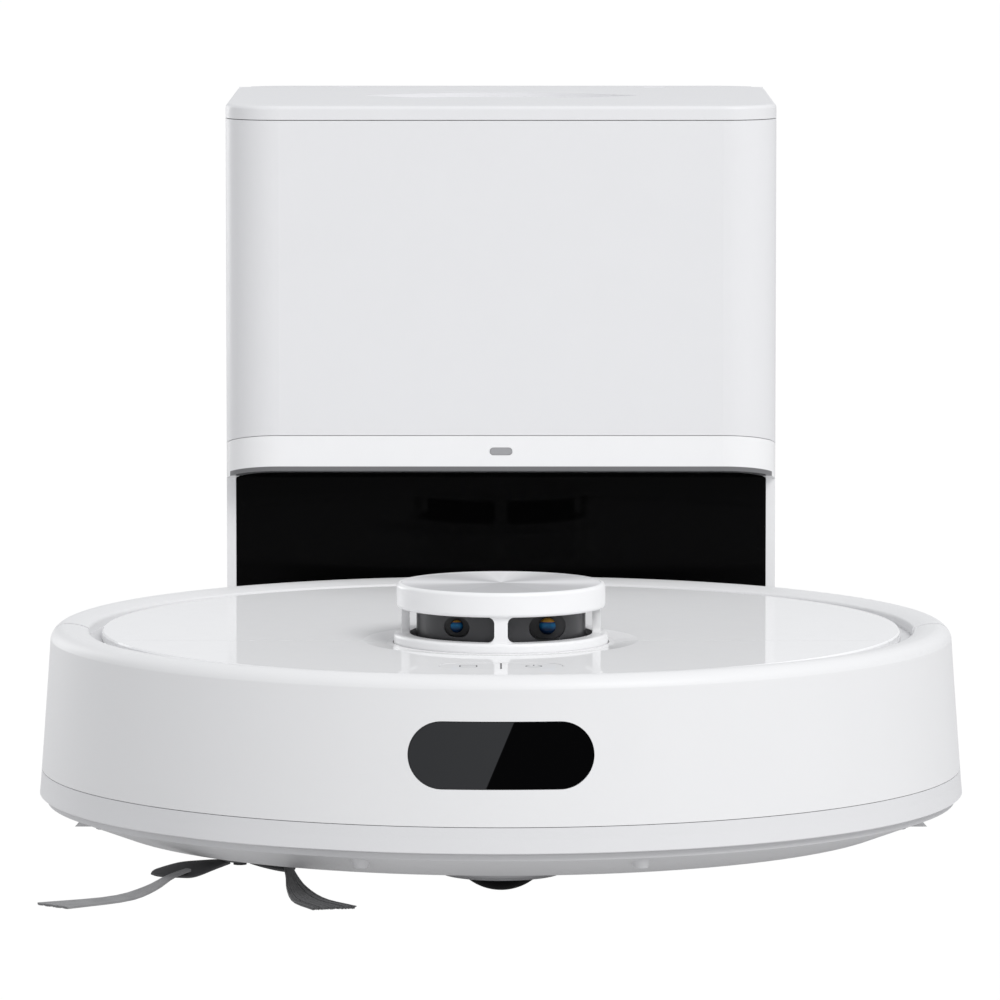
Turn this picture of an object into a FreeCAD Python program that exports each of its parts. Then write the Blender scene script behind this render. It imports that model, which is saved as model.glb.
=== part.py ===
import FreeCAD, Part
import math
import os

V = FreeCAD.Vector

# Robot vacuum parked at its self-emptying dock, millimetres, +Z up.
# Everything is drawn about the robot's own axis (X = Y = 0, front towards -Y, floor at Z = 0),
# and is moved along Y on export so that the origin is the middle of the assembly's footprint.

# ---- driving dimensions: robot body ----
BODY_R = 176.2             # side wall at its lower seam
LIP_OUT = 0.8              # how far the lower lip stands out past the wall
LIP_Z = 21.4               # bottom edge of the lip
SEAM_Z = 30.7              # seam between the wall and the lower trim
SHOULDER_DROP = 3.6        # how much the wall leans in from seam to shoulder
SHOULDER_Z = 80.6          # where the wall turns into the crowned rim
CREST_Z = 85.2             # top of the crowned rim
RIM_W = 18.2               # from the wall's foot in to the rim's inner edge
RIM_LAND = 2.6             # width of the rim's inner foot
PLATE_GAP = 5.0            # channel between the rim and the glossy top plate
PLATE_Z = 83.5             # its upper surface
PLATE_EDGE = 0.6           # bevel round the plate
DECK_Z = 80.0              # upper surface of the deck that carries the plate
DECK_T = 2.5
SHELL_T = 2.6              # wall of bumper and rear shell
SEAM_GAP = 0.25            # groove between trim and wall
BUMPER_TRAVEL = 2.5
BUMPER_GAP = 0.4           # spare gap beyond the bumper's travel
BELLY_Z = 9.5              # underside of the chassis
BELLY_IN = 25.0            # how far the flat underside ends inside the wall's foot
SKIRT_IN = 2.0             # how far the chassis flange ends inside it
SKIRT_Z = 20.5             # top of the chassis flange
SKIRT_EDGE = 2.3           # height of the flange's outer edge
PAN_T = 2.5
PAN_WALL_IN = 10.7         # how far the upright inner wall stands inside it
PAN_WALL_T = 2.2
CLEAR = 0.3                # general clearance between parts that move apart
RUN = 0.05                 # radial running clearance of shafts

# ---- window in the bumper ----
WINDOW_W = 67.3
WINDOW_H = 24.2
WINDOW_Z = 56.7
WINDOW_T = 2.0

# ---- laser turret ----
TURRET_Y = -40.0
RING_R = 40.5
RING_TOP = 86.4
CAP_R = 39.5
CAP_Z0 = 96.1
CAP_Z1 = 105.4
CAP_ROUND = 2.6
DISC_R = 37.7
DISC_SINK = 1.0
CAGE_WALL = 3.0
PILLAR_W = 5.0
PILLAR_ROUND = 2.5
CAGE_TRAVEL = 1.0
DISH_R = 52.0
DISH_DEPTH = 0.7
ROTOR_R = 32.0
ROTOR_Z0 = 78.6
ROTOR_Z1 = 98.6
HUB_R = 18.0
POST_R = 5.0
LENS_Z = 91.2
LENSES = [(-16.6, 9.6, 7.4, 2.4), (17.4, 13.8, 9.8, 3.2)]   # X, hole width, hole height, lens radius
PULLEY_R = 4.0
PULLEY_X = 28.0
BELT_T = 0.8
TUB_R = 41.5

# ---- lid and keys ----
SPLIT_Y = -43.0            # line between the fixed plate and the lid
SPLIT_GAP = 0.4
LID_AXIS_IN = 5.0          # hinge axis inside the plate's edge
LID_AXIS_Z = 82.2
LID_LUG_X = 34.0
KNUCKLE_W = 7.0
KNUCKLE_R = 1.25
LID_PIN_R = 0.7
KEY_Y = -124.0
KEYS_W = 46.0
KEYS_D = 20.0
KEY_TRAVEL = 0.5
LED_W = 2.2

# ---- drive wheels ----
WHEEL_X = 113.0
WHEEL_R = 36.0
WHEEL_W = 21.0
RIM_R = 30.0
LUGS = 28
LUG_DEPTH = 1.6
AXLE_R = 4.0
ARM_Y = 46.0
ARM_Z = 34.0
ARM_T = 8.0
ARM_DROP = 15.0            # degrees
PIVOT_R = 3.0
WELL_CLEAR = 3.0

# ---- caster ----
CASTER_Y = -125.0
CASTER_R = 13.0
CASTER_HALF_W = 12.6
CASTER_TRAIL = 3.5
FORK_R = 23.0
FORK_TIP_R = 17.0
FORK_Z0 = 4.8
FORK_Z1 = 31.0
STEM_R = 4.0
CASTER_PIN_R = 1.5

# ---- side brush ----
SB_X = -97.0
SB_Y = -102.0
SB_HUB_R = 12.0
SB_HUB_T = 4.0
SB_SHAFT_R = 2.5
SB_ARMS = [(234.0, 88.0), (312.0, 78.0)]   # direction of each paddle, degrees, and reach of its bristles
SB_CAN_R = 13.0
PADDLE_L = 41.0
BRISTLE_SWEEP = -13.0      # the bristles trail behind their paddle, degrees
BRISTLE_FAN = 22.0
BRISTLE_FLOOR = 0.5

# ---- main brush ----
MB_LEN = 168.0
MB_R = 19.0
MB_CORE_R = 13.0
MB_Z = 21.0
MB_FINS = 5
MB_TWIST = 50.0
MB_STUB_R = 3.0
HOUSING_W = 178.0
HOUSING_D = 50.0
HOUSING_Z1 = 46.0
HOUSING_T = 2.5
COVER_T = 2.0

# ---- dustbin and fan ----
BIN_X0 = -75.0
BIN_X1 = 62.0
BIN_Y0 = 38.0
BIN_Y1 = 128.0
BIN_Z0 = 17.0
BIN_Z1 = 76.5
BIN_T = 2.0
DUCT_W = 44.0
DUCT_T = 2.0
DUCT_Z0 = 28.0
DUCT_Z1 = 48.0
FAN_X = 96.0
FAN_Y = 90.0
FAN_R = 28.0
FAN_Z0 = 20.0
FAN_Z1 = 56.0
IMPELLER_R = 22.0

# ---- mop ----
MOP_Z0 = 3.0
MOP_Z1 = 9.2
MOP_TOP_IN = 14.7          # bracket's upper and lower edges inside the wall's foot
MOP_BOTTOM_IN = 9.2
MOP_FRONT_Y = 52.0
MOP_EAR_D = 29.0           # depth of the ears in from the bracket's edge
MOP_EAR_Y = 24.0
MOP_BACK_IN = 17.0
CLOTH_Z0 = 0.4

# ---- dock ----
DOCK_W = 223.0
DOCK_NEST = 15.0           # how far the robot's rear reaches in under the overhang
DOCK_DEPTH = 180.0
DOCK_Z1 = 276.0
DOCK_SEAM_Z = 270.0
DOCK_CORNER = 22.0
DOCK_T = 3.7
DOCK_FLOOR_Z = 1.0
RECESS = 20.0              # how far the back panel stands behind the front face
BAND_TOP = 142.8
BAND_BOTTOM = 128.6
SLOPE = 13.5               # fall of the band and of the overhang towards the back, degrees
PANEL_T = 3.0
GASKET_T = 3.5
DOCK_LED_W = 8.9
DOCK_LED_H = 2.8
DOCK_LID_GAP = 0.3
DOCK_AXIS_IN = 11.0        # lid hinge axis inside the back face
DOCK_LUG_X = 65.0
DOCK_DISH_W = 113.0
DOCK_DISH_D = 50.0
DOCK_DISH_IN = 90.0        # centre of the lid's dish behind the front face
DOCK_DISH_DEPTH = 1.6
DOCK_PIN_R = 1.2
BAG_T = 2.0
BAG_SIDE = 17.5            # bag's side inside the dock's side
BAG_Z0 = 93.0
BAG_Z1 = 255.0
BAG_MOUTH_Z = 178.0
RISER_W = 48.0             # dock duct, width and depth
RISER_D = 30.0
INLET_X = -80.0
INLET_Z = 24.0
FOOT_R = 9.0
FOOT_SIDE = 23.5
CONTACT_X = 40.0
CONTACT_Z = 37.0
CONTACT_W = 14.0
CONTACT_H = 8.0
CONTACT_TRAVEL = 4.0
DOCK_FAN_X = 58.0
DOCK_FAN_IN = 115.0        # fan's axis behind the front face
DOCK_FAN_R = 42.0

RIM_IN_R = BODY_R - RIM_W
PLATE_R = RIM_IN_R - PLATE_GAP
LID_AXIS_Y = PLATE_R - LID_AXIS_IN
BELLY_R = BODY_R - BELLY_IN
SKIRT_R = BODY_R - SKIRT_IN
PAN_WALL_R = BODY_R - PAN_WALL_IN
MOP_TOP_R = BODY_R - MOP_TOP_IN
MOP_BOTTOM_R = BODY_R - MOP_BOTTOM_IN
MOP_EAR_X = MOP_BOTTOM_R - MOP_EAR_D
MOP_BACK_Y = MOP_BOTTOM_R - MOP_BACK_IN
DOCK_Y0 = BODY_R - DOCK_NEST
DOCK_Y1 = DOCK_Y0 + DOCK_DEPTH
DOCK_AXIS_Y = DOCK_Y1 - DOCK_AXIS_IN
DOCK_DISH_Y = DOCK_Y0 + DOCK_DISH_IN
DOCK_FAN_Y = DOCK_Y0 + DOCK_FAN_IN
LIP_R = BODY_R + LIP_OUT
MID_Y = (DOCK_Y1 - LIP_R) / 2
SHOULDER_R = BODY_R - SHOULDER_DROP
BUMPER_END = BUMPER_TRAVEL + BUMPER_GAP
PAN_IN_R = PAN_WALL_R - PAN_WALL_T
BIG = 600.0


# ---- helpers ----
def box(x0, x1, y0, y1, z0, z1):
    return Part.makeBox(x1 - x0, y1 - y0, z1 - z0, V(x0, y0, z0))


def cyl(r, z0, z1, x=0.0, y=0.0):
    return Part.makeCylinder(r, z1 - z0, V(x, y, z0))


def rod_x(r, x0, x1, y, z):
    return Part.makeCylinder(r, x1 - x0, V(x0, y, z), V(1, 0, 0))


def rod_y(r, y0, y1, x, z):
    return Part.makeCylinder(r, y1 - y0, V(x, y0, z), V(0, 1, 0))


def tube(r_out, r_in, z0, z1, x=0.0, y=0.0):
    return cyl(r_out, z0, z1, x, y).cut(cyl(r_in, z0 - 1, z1 + 1, x, y))


def polygon_face(points):
    return Part.Face(Part.makePolygon([V(*p) for p in points] + [V(*points[0])]))


def prism(points, z0, z1):
    return polygon_face([(x, y, z0) for x, y in points]).extrude(V(0, 0, z1 - z0))


def turned(edges_or_points, x=0.0, y=0.0):
    """A full turn of a profile given as (r, z) points about the vertical through (x, y)."""
    face = polygon_face([(r, 0, z) for r, z in edges_or_points])
    solid = face.revolve(V(0, 0, 0), V(0, 0, 1), 360)
    solid.translate(V(x, y, 0))
    return solid


def rounded_box(x0, x1, y0, y1, z0, z1, r):
    solid = box(x0, x1, y0, y1, z0, z1)
    upright = [e for e in solid.Edges if abs(e.tangentAt(e.FirstParameter).z) > 0.99]
    return solid.makeFillet(r, upright)


def pill(w, d, z0, z1, x=0.0, y=0.0):
    """Upright capsule, long along X."""
    half = (w - d) / 2
    middle = box(x - half, x + half, y - d / 2, y + d / 2, z0, z1)
    return middle.fuse([cyl(d / 2, z0, z1, x - half, y), cyl(d / 2, z0, z1, x + half, y)]).removeSplitter()


def pill_y(w, h, y0, y1, x, z):
    """Capsule prism along Y, long along X."""
    half = (w - h) / 2
    middle = box(x - half, x + half, y0, y1, z - h / 2, z + h / 2)
    ends = [rod_y(h / 2, y0, y1, x - half, z), rod_y(h / 2, y0, y1, x + half, z)]
    return middle.fuse(ends).removeSplitter()


def mirrored(shape):
    return shape.mirror(V(0, 0, 0), V(1, 0, 0))


def chain_x(x0, x1, c1, r1, c2, r2):
    """Link plate between two round ends in the YZ plane, from x0 to x1."""
    along = math.atan2(c2[1] - c1[1], c2[0] - c1[0])
    span = math.hypot(c2[0] - c1[0], c2[1] - c1[1])
    lean = math.acos((r1 - r2) / span)
    corners = []
    for (cy, cz), r, side in ((c1, r1, 1), (c2, r2, 1), (c2, r2, -1), (c1, r1, -1)):
        angle = along + side * lean
        corners.append((x0, cy + r * math.cos(angle), cz + r * math.sin(angle)))
    web = polygon_face(corners).extrude(V(x1 - x0, 0, 0))
    return web.fuse([rod_x(r1, x0, x1, *c1), rod_x(r2, x0, x1, *c2)]).removeSplitter()


def loop_z(c1, r1, c2, r2, z0, z1):
    """Upright solid with the outline of a band round two circles on the same Y."""
    span = c2[0] - c1[0]
    lean = math.acos((r1 - r2) / span)
    corners = []
    for (cx, cy), r, side in ((c1, r1, 1), (c2, r2, 1), (c2, r2, -1), (c1, r1, -1)):
        corners.append((cx + r * math.cos(lean), cy + side * r * math.sin(lean)))
    web = prism(corners, z0, z1)
    return web.fuse([cyl(r1, z0, z1, *c1), cyl(r2, z0, z1, *c2)]).removeSplitter()


def duct_bore(y0, y1):
    """Air passage of the emptying duct between two stations along Y."""
    half = DUCT_W / 2 - DUCT_T
    return box(-half, half, y0, y1, DUCT_Z0 + DUCT_T, DUCT_Z1 - DUCT_T)


parts = {}


# ---- robot: shells ----
def rim_outline(inset):
    """Outer edges of the side wall and crowned rim, moved inwards by inset."""
    shoulder = V(SHOULDER_R - inset, 0, SHOULDER_Z - inset * 0.4)
    turn = V(SHOULDER_R - 2.0 - inset * 0.75, 0, SHOULDER_Z + 3.2 - inset * 0.75)
    crest = V(SHOULDER_R - 6.1, 0, CREST_Z - inset)
    ease = V(SHOULDER_R - 10.0, 0, CREST_Z - 0.35 - inset)
    brow = V(RIM_IN_R + 1.2 + inset * 0.4, 0, CREST_Z - 1.4 - inset)
    return shoulder, turn, crest, ease, brow


def wall_shell(z0, foot_z):
    """Full ring of side wall and crowned rim, hollow below."""
    bottom_r = BODY_R if z0 > SEAM_Z else LIP_R
    s0, t0, c0, e0, b0 = rim_outline(0.0)
    s1, t1, c1, e1, b1 = rim_outline(SHELL_T)
    edges = []
    if z0 < SEAM_Z:
        edges.append(Part.makeLine(V(bottom_r, 0, z0), V(BODY_R + 0.3, 0, LIP_Z + 5)))
        edges.append(Part.makeLine(V(BODY_R + 0.3, 0, LIP_Z + 5), V(BODY_R, 0, SEAM_Z)))
        edges.append(Part.makeLine(V(BODY_R, 0, SEAM_Z), s0))
    else:
        edges.append(Part.makeLine(V(BODY_R, 0, z0), s0))
    edges.append(Part.Arc(s0, t0, c0).toShape())
    edges.append(Part.Arc(c0, e0, b0).toShape())
    nose = V(RIM_IN_R, 0, b0.z - 1.3)
    edges.append(Part.Arc(b0, V(RIM_IN_R + 0.3, 0, b0.z - 0.5), nose).toShape())
    foot = V(RIM_IN_R, 0, foot_z)
    foot_out = V(RIM_IN_R + RIM_LAND, 0, foot_z)
    inner = V(RIM_IN_R + RIM_LAND, 0, b1.z - 0.6)
    edges.append(Part.makeLine(nose, foot))
    edges.append(Part.makeLine(foot, foot_out))
    edges.append(Part.makeLine(foot_out, inner))
    edges.append(Part.makeLine(inner, c1))
    edges.append(Part.Arc(c1, t1, s1).toShape())
    low_in = V(BODY_R - SHELL_T, 0, z0)
    edges.append(Part.makeLine(s1, low_in))
    edges.append(Part.makeLine(low_in, V(bottom_r, 0, z0)))
    face = Part.Face(Part.Wire(edges))
    return face.revolve(V(0, 0, 0), V(0, 0, 1), 360)


FRONT = box(-BIG, BIG, -BIG, -BUMPER_END, -BIG, BIG)
REAR = box(-BIG, BIG, 0, BIG, -BIG, BIG)


def make_shells():
    ring = wall_shell(SEAM_Z + SEAM_GAP / 2, DECK_Z + BUMPER_GAP)
    bumper = ring.common(FRONT)
    opening = pill_y(WINDOW_W + 2 * SEAM_GAP, WINDOW_H + 2 * SEAM_GAP, -BIG / 2, -BODY_R / 2, 0, WINDOW_Z)
    glazing = pill_y(WINDOW_W, WINDOW_H, -BIG / 2, -BODY_R / 2, 0, WINDOW_Z)
    parts["bumper"] = bumper.cut(opening)
    lean = SHOULDER_DROP / (SHOULDER_Z - SEAM_Z)
    z0 = SEAM_Z + 2
    z1 = SHOULDER_Z - 2

    def wall_r(z):
        return BODY_R - lean * (z - SEAM_Z)

    skin = turned([(wall_r(z0), z0), (wall_r(z1), z1),
                   (wall_r(z1) - WINDOW_T, z1), (wall_r(z0) - WINDOW_T, z0)])
    parts["bumper_window"] = skin.common(glazing)
    trim_z0 = SKIRT_Z + BUMPER_GAP
    trim_z1 = SEAM_Z - SEAM_GAP / 2
    trim = turned([(LIP_R, trim_z0 + 0.4), (BODY_R + 0.3, LIP_Z + 5), (BODY_R, trim_z1),
                   (BODY_R - SHELL_T, trim_z1), (BODY_R - SHELL_T, trim_z0), (LIP_R - 0.6, trim_z0)])
    parts["bumper_trim"] = trim.common(FRONT)
    rear = wall_shell(SKIRT_Z, DECK_Z).common(REAR)
    port = box(-DUCT_W / 2, DUCT_W / 2, BODY_R / 2, BIG / 2, DUCT_Z0, DUCT_Z1)
    rear = rear.cut(port)
    for x in (-CONTACT_X, CONTACT_X):
        pad = box(x - CONTACT_W / 2, x + CONTACT_W / 2, BODY_R / 2, BIG / 2,
                  CONTACT_Z - CONTACT_H / 2, CONTACT_Z + CONTACT_H / 2)
        rear = rear.cut(pad)
    parts["rear_shell"] = rear


def make_charging_contacts():
    pads = []
    skin = tube(BODY_R - 0.6, BODY_R - SHELL_T, SEAM_Z - 5, SEAM_Z + 20)
    for x in (-CONTACT_X, CONTACT_X):
        half_w = CONTACT_W / 2 - 0.1
        half_h = CONTACT_H / 2 - 0.1
        block = box(x - half_w, x + half_w, BODY_R / 2, BIG / 2, CONTACT_Z - half_h, CONTACT_Z + half_h)
        pads.append(skin.common(block))
    parts["charging_contacts"] = Part.makeCompound(pads)


# ---- robot: chassis and deck ----
def mop_outline(grow, radius):
    """D-shaped plan of the mop bracket, as a solid between two heights is cut from it."""
    disc = cyl(radius + grow, 0, 1)
    back = box(-BIG, BIG, -BIG, MOP_BACK_Y + grow, -1, 2)
    front = box(-BIG, BIG, MOP_FRONT_Y - grow, BIG, -1, 2)
    ear = box(MOP_EAR_X - grow, BIG, MOP_EAR_Y - grow, BIG, -1, 2)
    return disc.common(back).common(front.fuse([ear, mirrored(ear)]))


def make_chassis():
    pan = turned([(0, BELLY_Z), (BELLY_R, BELLY_Z), (SKIRT_R, SKIRT_Z - SKIRT_EDGE), (SKIRT_R, SKIRT_Z),
                  (PAN_IN_R, SKIRT_Z), (PAN_IN_R, SKIRT_Z - SKIRT_EDGE),
                  (BELLY_R - 1, BELLY_Z + PAN_T), (0, BELLY_Z + PAN_T)])
    wall = tube(PAN_WALL_R, PAN_IN_R, SKIRT_Z + CLEAR, DECK_Z - DECK_T)
    cuts = [box(-HOUSING_W / 2, HOUSING_W / 2, -HOUSING_D / 2, HOUSING_D / 2, 0, BELLY_Z + PAN_T + 1)]
    well_half = WHEEL_W / 2 + WELL_CLEAR
    for side in (-1, 1):
        x = side * WHEEL_X
        cuts.append(box(x - well_half, x + well_half, -WHEEL_R - WELL_CLEAR, ARM_Y - 6,
                        0, BELLY_Z + PAN_T + 8))
    arm_slot = box(WHEEL_X - 21, WHEEL_X - well_half + 1, -18, ARM_Y - 6, 0, BELLY_Z + PAN_T + 1)
    cuts += [arm_slot, mirrored(arm_slot)]
    cuts.append(cyl(FORK_R + 3.0, 0, BELLY_Z + PAN_T + 1, 0, CASTER_Y))
    cuts.append(cyl(SB_SHAFT_R + 0.5, 0, BELLY_Z + PAN_T + 1, SB_X, SB_Y))
    pan = pan.cut(cuts)
    fixtures = []
    for x in (-CONTACT_X, CONTACT_X):
        reach = math.sqrt((BODY_R - SHELL_T) ** 2 - (abs(x) + CONTACT_W / 2) ** 2)
        fixtures.append(box(x - 4, x + 4, math.sqrt(PAN_IN_R ** 2 - (abs(x) - 4) ** 2), reach,
                            CONTACT_Z - 3, CONTACT_Z + 3))
    duct_end = BODY_R - SHELL_T - 2.1
    fixtures.append(box(-DUCT_W / 2, DUCT_W / 2, BIN_Y1 + CLEAR, duct_end, DUCT_Z0, DUCT_Z1))
    wall = wall.fuse(fixtures).cut(duct_bore(BIN_Y1 - 1, BODY_R + 5))
    extras = []
    for x in (-52.0, 52.0):
        for y in (-139.0, -98.0):
            extras.append(cyl(3.0, BELLY_Z + PAN_T - 0.5, 68.0, x, y))
    for x in (BIN_X0 + 20, BIN_X1 - 20):
        extras.append(box(x - 2, x + 2, BIN_Y0 + 4, BIN_Y1 - 4, BELLY_Z + 1, BIN_Z0))
    post = box(WHEEL_X - 7.5, WHEEL_X - 2, ARM_Y - 5.5, ARM_Y + 5.5, BELLY_Z + 0.5, ARM_Z + 5)
    pin = rod_x(PIVOT_R, WHEEL_X - 21, WHEEL_X - 7, ARM_Y, ARM_Z)
    extras += [post, pin, mirrored(post), mirrored(pin)]
    boss = cyl(FAN_R - 6, BELLY_Z + PAN_T - 0.5, FAN_Z0, FAN_X, FAN_Y)
    extras.append(boss)
    battery_rib = box(-30, 30, -66, -60, BELLY_Z + 1, 14.0)
    extras.append(battery_rib)
    brush_rest = box(-HOUSING_W / 2 + 4, HOUSING_W / 2 - 4, HOUSING_D / 2 + CLEAR, HOUSING_D / 2 + 3,
                     BELLY_Z + 1, 30)
    extras.append(brush_rest.cut(box(-50, 50, 0, 60, 10, 40)))
    tub_posts = [cyl(3.0, BELLY_Z + PAN_T - 0.5, 64.0, x, TURRET_Y - 2) for x in (-45.0, 45.0)]
    extras += [p.cut(cyl(TUB_R + 2.6, 0, 80, 0, TURRET_Y)) for p in tub_posts]
    for x in (-51.0, 51.0):
        edge_r = math.sqrt((SKIRT_R - 5.5) ** 2 - x ** 2)
        extras.append(Part.makeCone(2.6, 4.6, 5.0, V(x, -edge_r, SKIRT_Z - 6.5)))
    pan = pan.fuse(extras)
    pan = pan.cut(cyl(2.0, 0, BELLY_Z + PAN_T + 1, 0, -60))
    parts["chassis"] = Part.makeCompound([pan.removeSplitter(), wall.removeSplitter()])


def make_deck():
    deck = cyl(PAN_WALL_R, DECK_Z - DECK_T, DECK_Z)
    slot = LID_LUG_X + KNUCKLE_W / 2 + 1
    cuts = [box(BIN_X0 - 1, BIN_X1 + 1, BIN_Y0 - 1, BIN_Y1 + 1, 0, BIG),
            cyl(RING_R + 0.6, 0, BIG, 0, TURRET_Y),
            box(-slot, slot, LID_AXIS_Y - 6, RIM_IN_R - 1.5, 0, BIG),
            cyl(3.4, 0, BIG, -KEYS_W / 4, KEY_Y),
            cyl(3.4, 0, BIG, KEYS_W / 4, KEY_Y)]
    deck = deck.cut(cuts)
    lugs = []
    for side in (-1, 1):
        x = side * LID_LUG_X
        x0 = x - KNUCKLE_W / 2
        x1 = x + KNUCKLE_W / 2
        lugs.append(rod_x(KNUCKLE_R, x0, x1, LID_AXIS_Y, LID_AXIS_Z))
        lugs.append(box(x0, x1, LID_AXIS_Y - KNUCKLE_R, LID_AXIS_Y + KNUCKLE_R,
                        DECK_Z - DECK_T, LID_AXIS_Z))
        lugs.append(box(x0, x1, LID_AXIS_Y - 6.5, LID_AXIS_Y + KNUCKLE_R,
                        DECK_Z - DECK_T - 1.5, DECK_Z))
    deck = deck.fuse(lugs)
    deck = deck.cut(rod_x(LID_PIN_R, -60, 60, LID_AXIS_Y, LID_AXIS_Z))
    parts["deck"] = deck.removeSplitter()
    half = LID_LUG_X + KNUCKLE_W / 2
    parts["lid_hinge_pin"] = rod_x(LID_PIN_R, -half, half, LID_AXIS_Y, LID_AXIS_Z)


def top_disc():
    disc = turned([(0, DECK_Z), (PLATE_R, DECK_Z), (PLATE_R, PLATE_Z - PLATE_EDGE),
                   (PLATE_R - PLATE_EDGE, PLATE_Z), (0, PLATE_Z)])
    dish = turned([(0, PLATE_Z - DISH_DEPTH), (RING_R + 3, PLATE_Z - DISH_DEPTH), (DISH_R, PLATE_Z),
                   (DISH_R, PLATE_Z + 2), (0, PLATE_Z + 2)], 0, TURRET_Y)
    hole = cyl(RING_R + 0.5, 0, BIG, 0, TURRET_Y)
    return disc.cut([dish, hole])


def make_top():
    disc = top_disc()
    fixed = disc.common(box(-BIG, BIG, -BIG, SPLIT_Y - SPLIT_GAP / 2, -BIG, BIG))
    pad = pill(KEYS_W, KEYS_D, 0, BIG, 0, KEY_Y)
    parts["top_plate_front"] = fixed.cut(pad)
    lid = disc.common(box(-BIG, BIG, SPLIT_Y + SPLIT_GAP / 2, BIG, DECK_Z + CLEAR, BIG))
    cuts = []
    for side in (-1, 1):
        x = side * LID_LUG_X
        cuts.append(box(x - KNUCKLE_W / 2 - CLEAR, x + KNUCKLE_W / 2 + CLEAR, LID_AXIS_Y - KNUCKLE_R - CLEAR,
                        BIG, 0, BIG))
    lid = lid.cut(cuts)
    rib = box(BIN_X0 + 8, BIN_X1 - 8, BIN_Y0 + 8, BIN_Y0 + 10, BIN_Z1 + 1, PLATE_Z - 1)
    lid = lid.fuse(rib)
    lid = lid.cut(rod_x(LID_PIN_R + RUN, -60, 60, LID_AXIS_Y, LID_AXIS_Z))
    parts["flip_lid"] = lid.removeSplitter()


def make_keys():
    cap_z0 = DECK_Z + KEY_TRAVEL + 0.7
    cap = pill(KEYS_W - 2 * CLEAR, KEYS_D - 2 * CLEAR, cap_z0, PLATE_Z - 0.1, 0, KEY_Y)
    half = LED_W / 2
    stem_z0 = DECK_Z - DECK_T - 3.5
    left = cap.common(box(-BIG, -half - CLEAR, -BIG, BIG, 0, BIG))
    left = left.fuse(cyl(3.0, stem_z0, cap_z0 + 0.5, -KEYS_W / 4, KEY_Y)).removeSplitter()
    parts["home_key"] = left
    parts["power_key"] = mirrored(left)
    parts["led_bar"] = box(-half, half, KEY_Y - KEYS_D / 2 + 0.5, KEY_Y + KEYS_D / 2 - 0.5,
                           DECK_Z, PLATE_Z - 0.1)
    board_z = 68.0
    board = box(-58, 58, -144, -92, board_z, board_z + 1.6)
    board = board.common(cyl(PAN_IN_R - 3, 0, BIG))
    switch_top = stem_z0 - KEY_TRAVEL - 0.2
    pieces = [box(x - 3, x + 3, KEY_Y - 3, KEY_Y + 3, board_z + 1, switch_top)
              for x in (-KEYS_W / 4, KEYS_W / 4)]
    pieces.append(box(20, 40, -112, -98, board_z + 1, board_z + 3.6))
    pieces.append(box(-40, -28, -110, -98, board_z + 1, board_z + 3.0))
    parts["circuit_board"] = board.fuse(pieces).removeSplitter()


# ---- robot: turret ----
def make_turret():
    ring = tube(RING_R, RING_R - CAGE_WALL - 1.5, DECK_Z - 0.8, RING_TOP, 0, TURRET_Y)
    ring_edge = [e for e in ring.Edges if len(e.Vertexes) == 1 and abs(e.CenterOfMass.z - RING_TOP) < 0.01
                 and e.Curve.Radius > RING_R - 1]
    ring = ring.makeFillet(1.2, ring_edge)
    cap = cyl(CAP_R, CAP_Z0, CAP_Z1, 0, TURRET_Y)
    edges = [e for e in cap.Edges if len(e.Vertexes) == 1]
    cap = cap.makeFillet(CAP_ROUND - 1.2, edges)
    cap = cap.cut([cyl(CAP_R - CAGE_WALL - 1.5, CAP_Z0 - 1, ROTOR_Z1 + CAGE_TRAVEL + 1.2, 0, TURRET_Y),
                   cyl(DISC_R + 0.15, CAP_Z1 - DISC_SINK, CAP_Z1 + 5, 0, TURRET_Y)])
    wall = tube(CAP_R - 1.8, CAP_R - 1.8 - CAGE_WALL, RING_TOP - 2, CAP_Z0 + 2, 0, TURRET_Y)
    height = CAP_Z0 - RING_TOP
    for angle in (0, 90, 180, 270):
        keep = PILLAR_W / 2
        opening = box(keep, CAP_R + 5, keep, CAP_R + 5, RING_TOP, RING_TOP + height)
        opening = opening.makeFillet(PILLAR_ROUND, [e for e in opening.Edges if opening_corner(e, keep)])
        opening.rotate(V(0, 0, 0), V(0, 0, 1), angle)
        opening.translate(V(0, TURRET_Y, 0))
        wall = wall.cut(opening)
    cage = ring.fuse([cap, wall]).removeSplitter()
    parts["turret_cage"] = cage
    disc = cyl(DISC_R, CAP_Z1 - DISC_SINK, CAP_Z1 - 0.15, 0, TURRET_Y)
    parts["turret_disc"] = disc


def opening_corner(edge, keep):
    """The four edges of a window block that meet its two pillars."""
    if len(edge.Vertexes) < 2:
        return False
    a = edge.Vertexes[0].Point
    b = edge.Vertexes[1].Point
    flat = abs(a.z - b.z) < 0.01
    on_x = abs(a.x - keep) < 0.01 and abs(b.x - keep) < 0.01
    on_y = abs(a.y - keep) < 0.01 and abs(b.y - keep) < 0.01
    return flat and (on_x or on_y)


def make_rotor():
    body = cyl(ROTOR_R, ROTOR_Z0, ROTOR_Z1, 0, TURRET_Y)
    body = body.fuse(cyl(HUB_R, ROTOR_Z0 - 10, ROTOR_Z0, 0, TURRET_Y))
    cuts = [cyl(POST_R + RUN, 0, ROTOR_Z0 + 4, 0, TURRET_Y)]
    lenses = []
    for x, w, h, r in LENSES:
        face_y = TURRET_Y - math.sqrt(ROTOR_R ** 2 - x ** 2)
        pocket = pill_y(w, h, face_y - 15, face_y + 7, x, LENS_Z)
        cuts.append(pocket)
        barrel = rod_y(r, face_y + 2.0, face_y + 7, x, LENS_Z)
        rim = [e for e in barrel.Edges
               if len(e.Vertexes) == 1 and abs(e.CenterOfMass.y - face_y - 2.0) < 0.01]
        lenses.append(barrel.makeFillet(r * 0.6, rim))
    parts["lidar_rotor"] = body.cut(cuts).removeSplitter()
    parts["rotor_lenses"] = Part.makeCompound(lenses)


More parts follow.
